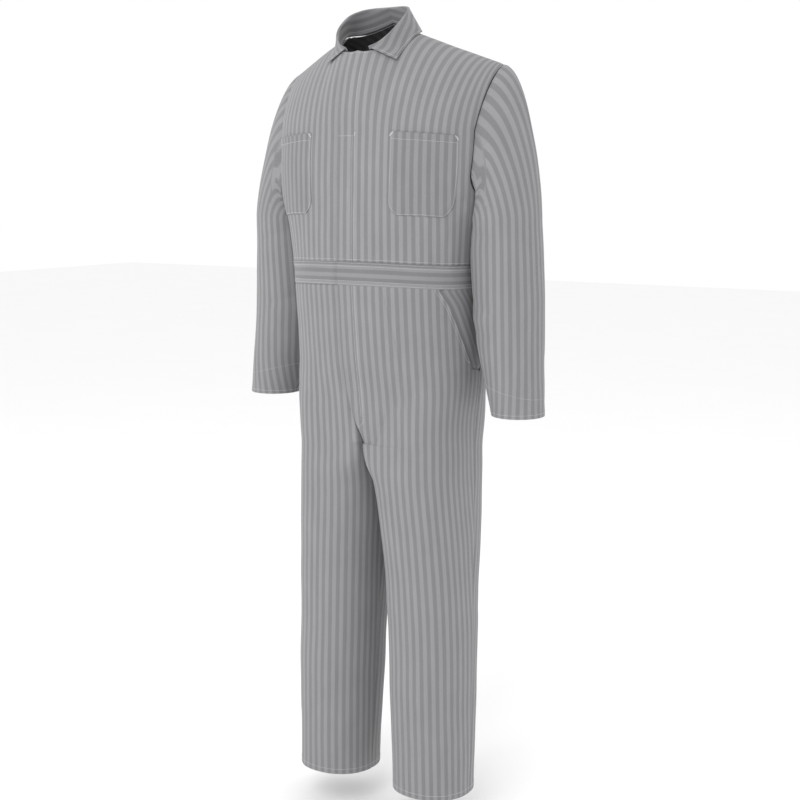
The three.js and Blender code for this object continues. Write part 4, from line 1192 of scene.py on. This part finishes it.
def stitch_leg_front(piece, side):
    lines = Stitching(piece)
    lines.from_edge("b" if piece.from_low[-1, 0] > 0 and piece.base[0, 0, 2] < HIP_Z else "t", LEG_STITCH)
    mouth = piece.base[:, -1, 2]
    rows = np.flatnonzero(mouth > POCKET_MOUTH[-1, 0] + 12).astype(float)
    for offset in (3.0, 8.5):
        place = [np.interp(-offset, -piece.from_right[int(r)], np.arange(piece.columns)) for r in rows]
        lines.line(rows, np.array(place))
    end = float(rows[np.argmin(mouth[rows.astype(int)])])
    lines.bar(np.array([end, end]), np.array([piece.columns - 3.6, piece.columns - 1.3]))
    if side > 0:
        stitch_fly(lines, piece, FLY_END_Z + 34, -400)
        z = piece.base[:, 0, 2]
        low = float(np.interp(FLY_END_Z + 34, z[::-1], np.arange(piece.rows)[::-1]))
        curve = np.linspace(0, 1, 14)
        x = FLY_STITCH_X - (FLY_STITCH_X - fly_x(FLY_END_Z + 14)) * curve ** 2.2
        drop = low + curve * 4.4
        lines.line(drop, np.array([float(column_at_x(piece, a, [b])[0]) for a, b in zip(x, drop)]))
        bar = float(np.interp(-662, z[::-1], np.arange(piece.rows)[::-1]))
        lines.bar(np.array([bar, bar + 0.3]), np.array([0.5, 2.2]))
    return lines


def stitch_sleeve(piece):
    lines = Stitching(piece)
    lines.from_edge("b", SLEEVE_STITCH)
    columns = np.arange(piece.columns + 1, dtype=float)
    turn = np.radians(columns * 360 / piece.columns)
    height = mix(CUFF_LINE["outer"], CUFF_LINE["inner"], (1 - np.cos(turn)) / 2)
    rows = [np.interp(h, piece.from_low[:, int(c) % piece.columns], np.arange(piece.rows))
            for h, c in zip(height, columns)]
    lines.line(np.array(rows), columns, radius=0.24)
    return lines


def stitch_collar(piece):
    lines = Stitching(piece)
    lines.from_edge("t", COLLAR_STITCH, start=4, stop=4)
    leaf = np.flatnonzero(piece.levels >= 2.12).astype(float)
    for offset_from in ("l", "r"):
        distance = piece.edge(offset_from)
        order = slice(None) if offset_from == "l" else slice(None, None, -1)
        columns = np.arange(piece.columns, dtype=float)[order]
        place = [np.interp(COLLAR_STITCH, distance[int(r)][order], columns) for r in leaf]
        lines.line(leaf, np.array(place))
    stand = np.full(piece.columns, 1.6)
    lines.line(stand, np.arange(piece.columns, dtype=float))
    return lines


def cut_of(piece):
    """Width across the stripes and length along them in metres, and the area in square metres."""
    base = piece.base
    if piece.closed:
        base = np.concatenate([base, base[:, :1]], 1)
    a, b = base[1:, :-1] - base[:-1, :-1], base[:-1, 1:] - base[:-1, :-1]
    c, d = base[1:, :-1] - base[1:, 1:], base[:-1, 1:] - base[1:, 1:]
    area = (np.linalg.norm(np.cross(a, b), axis=-1) + np.linalg.norm(np.cross(c, d), axis=-1)).sum() / 2
    wide, long = (np.ptp(piece.cloth[..., k]) for k in (0, 1))
    return wide / 1000, long / 1000, area / 1e6


def declare(piece):
    wide, long, area = cut_of(piece)


# The trim slot carries the painted shade of the darker trim cloth
MATERIALS = {"herringbone_cloth": CLOTH_MATERIAL, "trim_cloth": SHADED_TRIM_MATERIAL}


def finish(piece, stitching=None, slot="herringbone_cloth"):
    obj = shell(piece, MATERIALS[slot])
    declare(piece)
    if stitching is not None:
        stitching.build()


def build_suit():
    back = bodice_back()
    finish(back, stitch_rows(back, ("b", BODICE_STITCH, 2, 2)))
    band = waistband_back()
    finish(band, stitch_waistband(band), "trim_cloth")
    neck = collar()
    finish(neck, stitch_collar(neck), "trim_cloth")
    for side in (1, -1):
        front = bodice_front(side)
        finish(front, stitch_front(front, side))
        band = waistband_front(side)
        finish(band, stitch_waistband(band), "trim_cloth")
        pocket = chest_pocket(side)
        finish(pocket, stitch_chest_pocket(pocket), "trim_cloth")
        finish(hip_pocket(side), slot="trim_cloth")
        leg = leg_front(side)
        leg.turn_hem("t", LEG_HEM)
        finish(leg, stitch_leg_front(leg, side))
        leg = leg_back(side)
        leg.turn_hem("t", LEG_HEM)
        finish(leg, stitch_rows(leg, ("t", LEG_STITCH)))
        arm = sleeve(side)
        finish(arm, stitch_sleeve(arm))


# Stage, light and camera, in metres
FLOOR_Z = -1.56
CAMERA = {"azimuth": 32, "pitch": 9.48, "lens": 59.3, "place": (1.4555, -2.3093, -0.211)}
AREA_LIGHTS = [
    # name, place, aimed at, size, watts
    ("key", (0.6, -3.4, 1.9), (0, 0, -0.6), 2.2, 62),
    ("fill", (-2.8, -2.2, 0.6), (0, 0, -0.7), 2.4, 22),
    ("rim", (2.6, 2.4, 1.6), (0, 0, -0.6), 2.0, 18),
]


def build_floor():
    size = 14.0
    corners = [(size * x, size * y, FLOOR_Z) for x, y in ((-1, -1), (1, -1), (1, 1), (-1, 1))]
    mesh = bpy.data.meshes.new("floor")
    mesh.from_pydata(corners, [], [(0, 1, 2, 3)])
    material = bpy.data.materials.new("pale_floor")
    n = Nodes(material)
    where = n.add("ShaderNodeTexCoord").outputs["Object"]
    tones = (0.93, 0.93, 0.93, 1), (0.95, 0.95, 0.95, 1)
    n.feed(n.shader, "Base Color", n.mix_colour(n.noise(where, 3.0), *tones))
    n.feed(n.shader, "Roughness", 0.95)
    n.feed(n.shader, "Specular IOR Level", 0.0)
    mesh.materials.append(material)
    obj = bpy.data.objects.new("floor", mesh)
    bpy.context.scene.collection.objects.link(obj)


def build_light():
    world = bpy.data.worlds.new("soft_studio")
    bpy.context.scene.world = world
    world.use_nodes = True
    ground = world.node_tree.nodes["Background"]
    ground.inputs["Color"].default_value = (1, 1, 1, 1)
    ground.inputs["Strength"].default_value = 1.0
    for name, place, target, size, watts in AREA_LIGHTS:
        light = bpy.data.lights.new(name, "AREA")
        light.size, light.energy = size, watts
        obj = bpy.data.objects.new(name, light)
        obj.location = place
        way = np.array(place) - np.array(target)
        flat = math.hypot(way[0], way[1])
        obj.rotation_euler = (math.pi / 2 - math.atan2(way[2], flat), 0, math.atan2(way[0], -way[1]))
        bpy.context.scene.collection.objects.link(obj)
    bpy.context.scene.view_settings.view_transform = "Standard"


def build_camera():
    camera = bpy.data.cameras.new("camera")
    camera.lens, camera.sensor_width = CAMERA["lens"], 36
    camera.clip_end = 50
    obj = bpy.data.objects.new("camera", camera)
    obj.location = CAMERA["place"]
    obj.rotation_euler = (math.radians(90 - CAMERA["pitch"]), 0, math.radians(CAMERA["azimuth"]))
    bpy.context.scene.collection.objects.link(obj)
    bpy.context.scene.camera = obj


build_camera()
build_light()
build_floor()
build_suit()
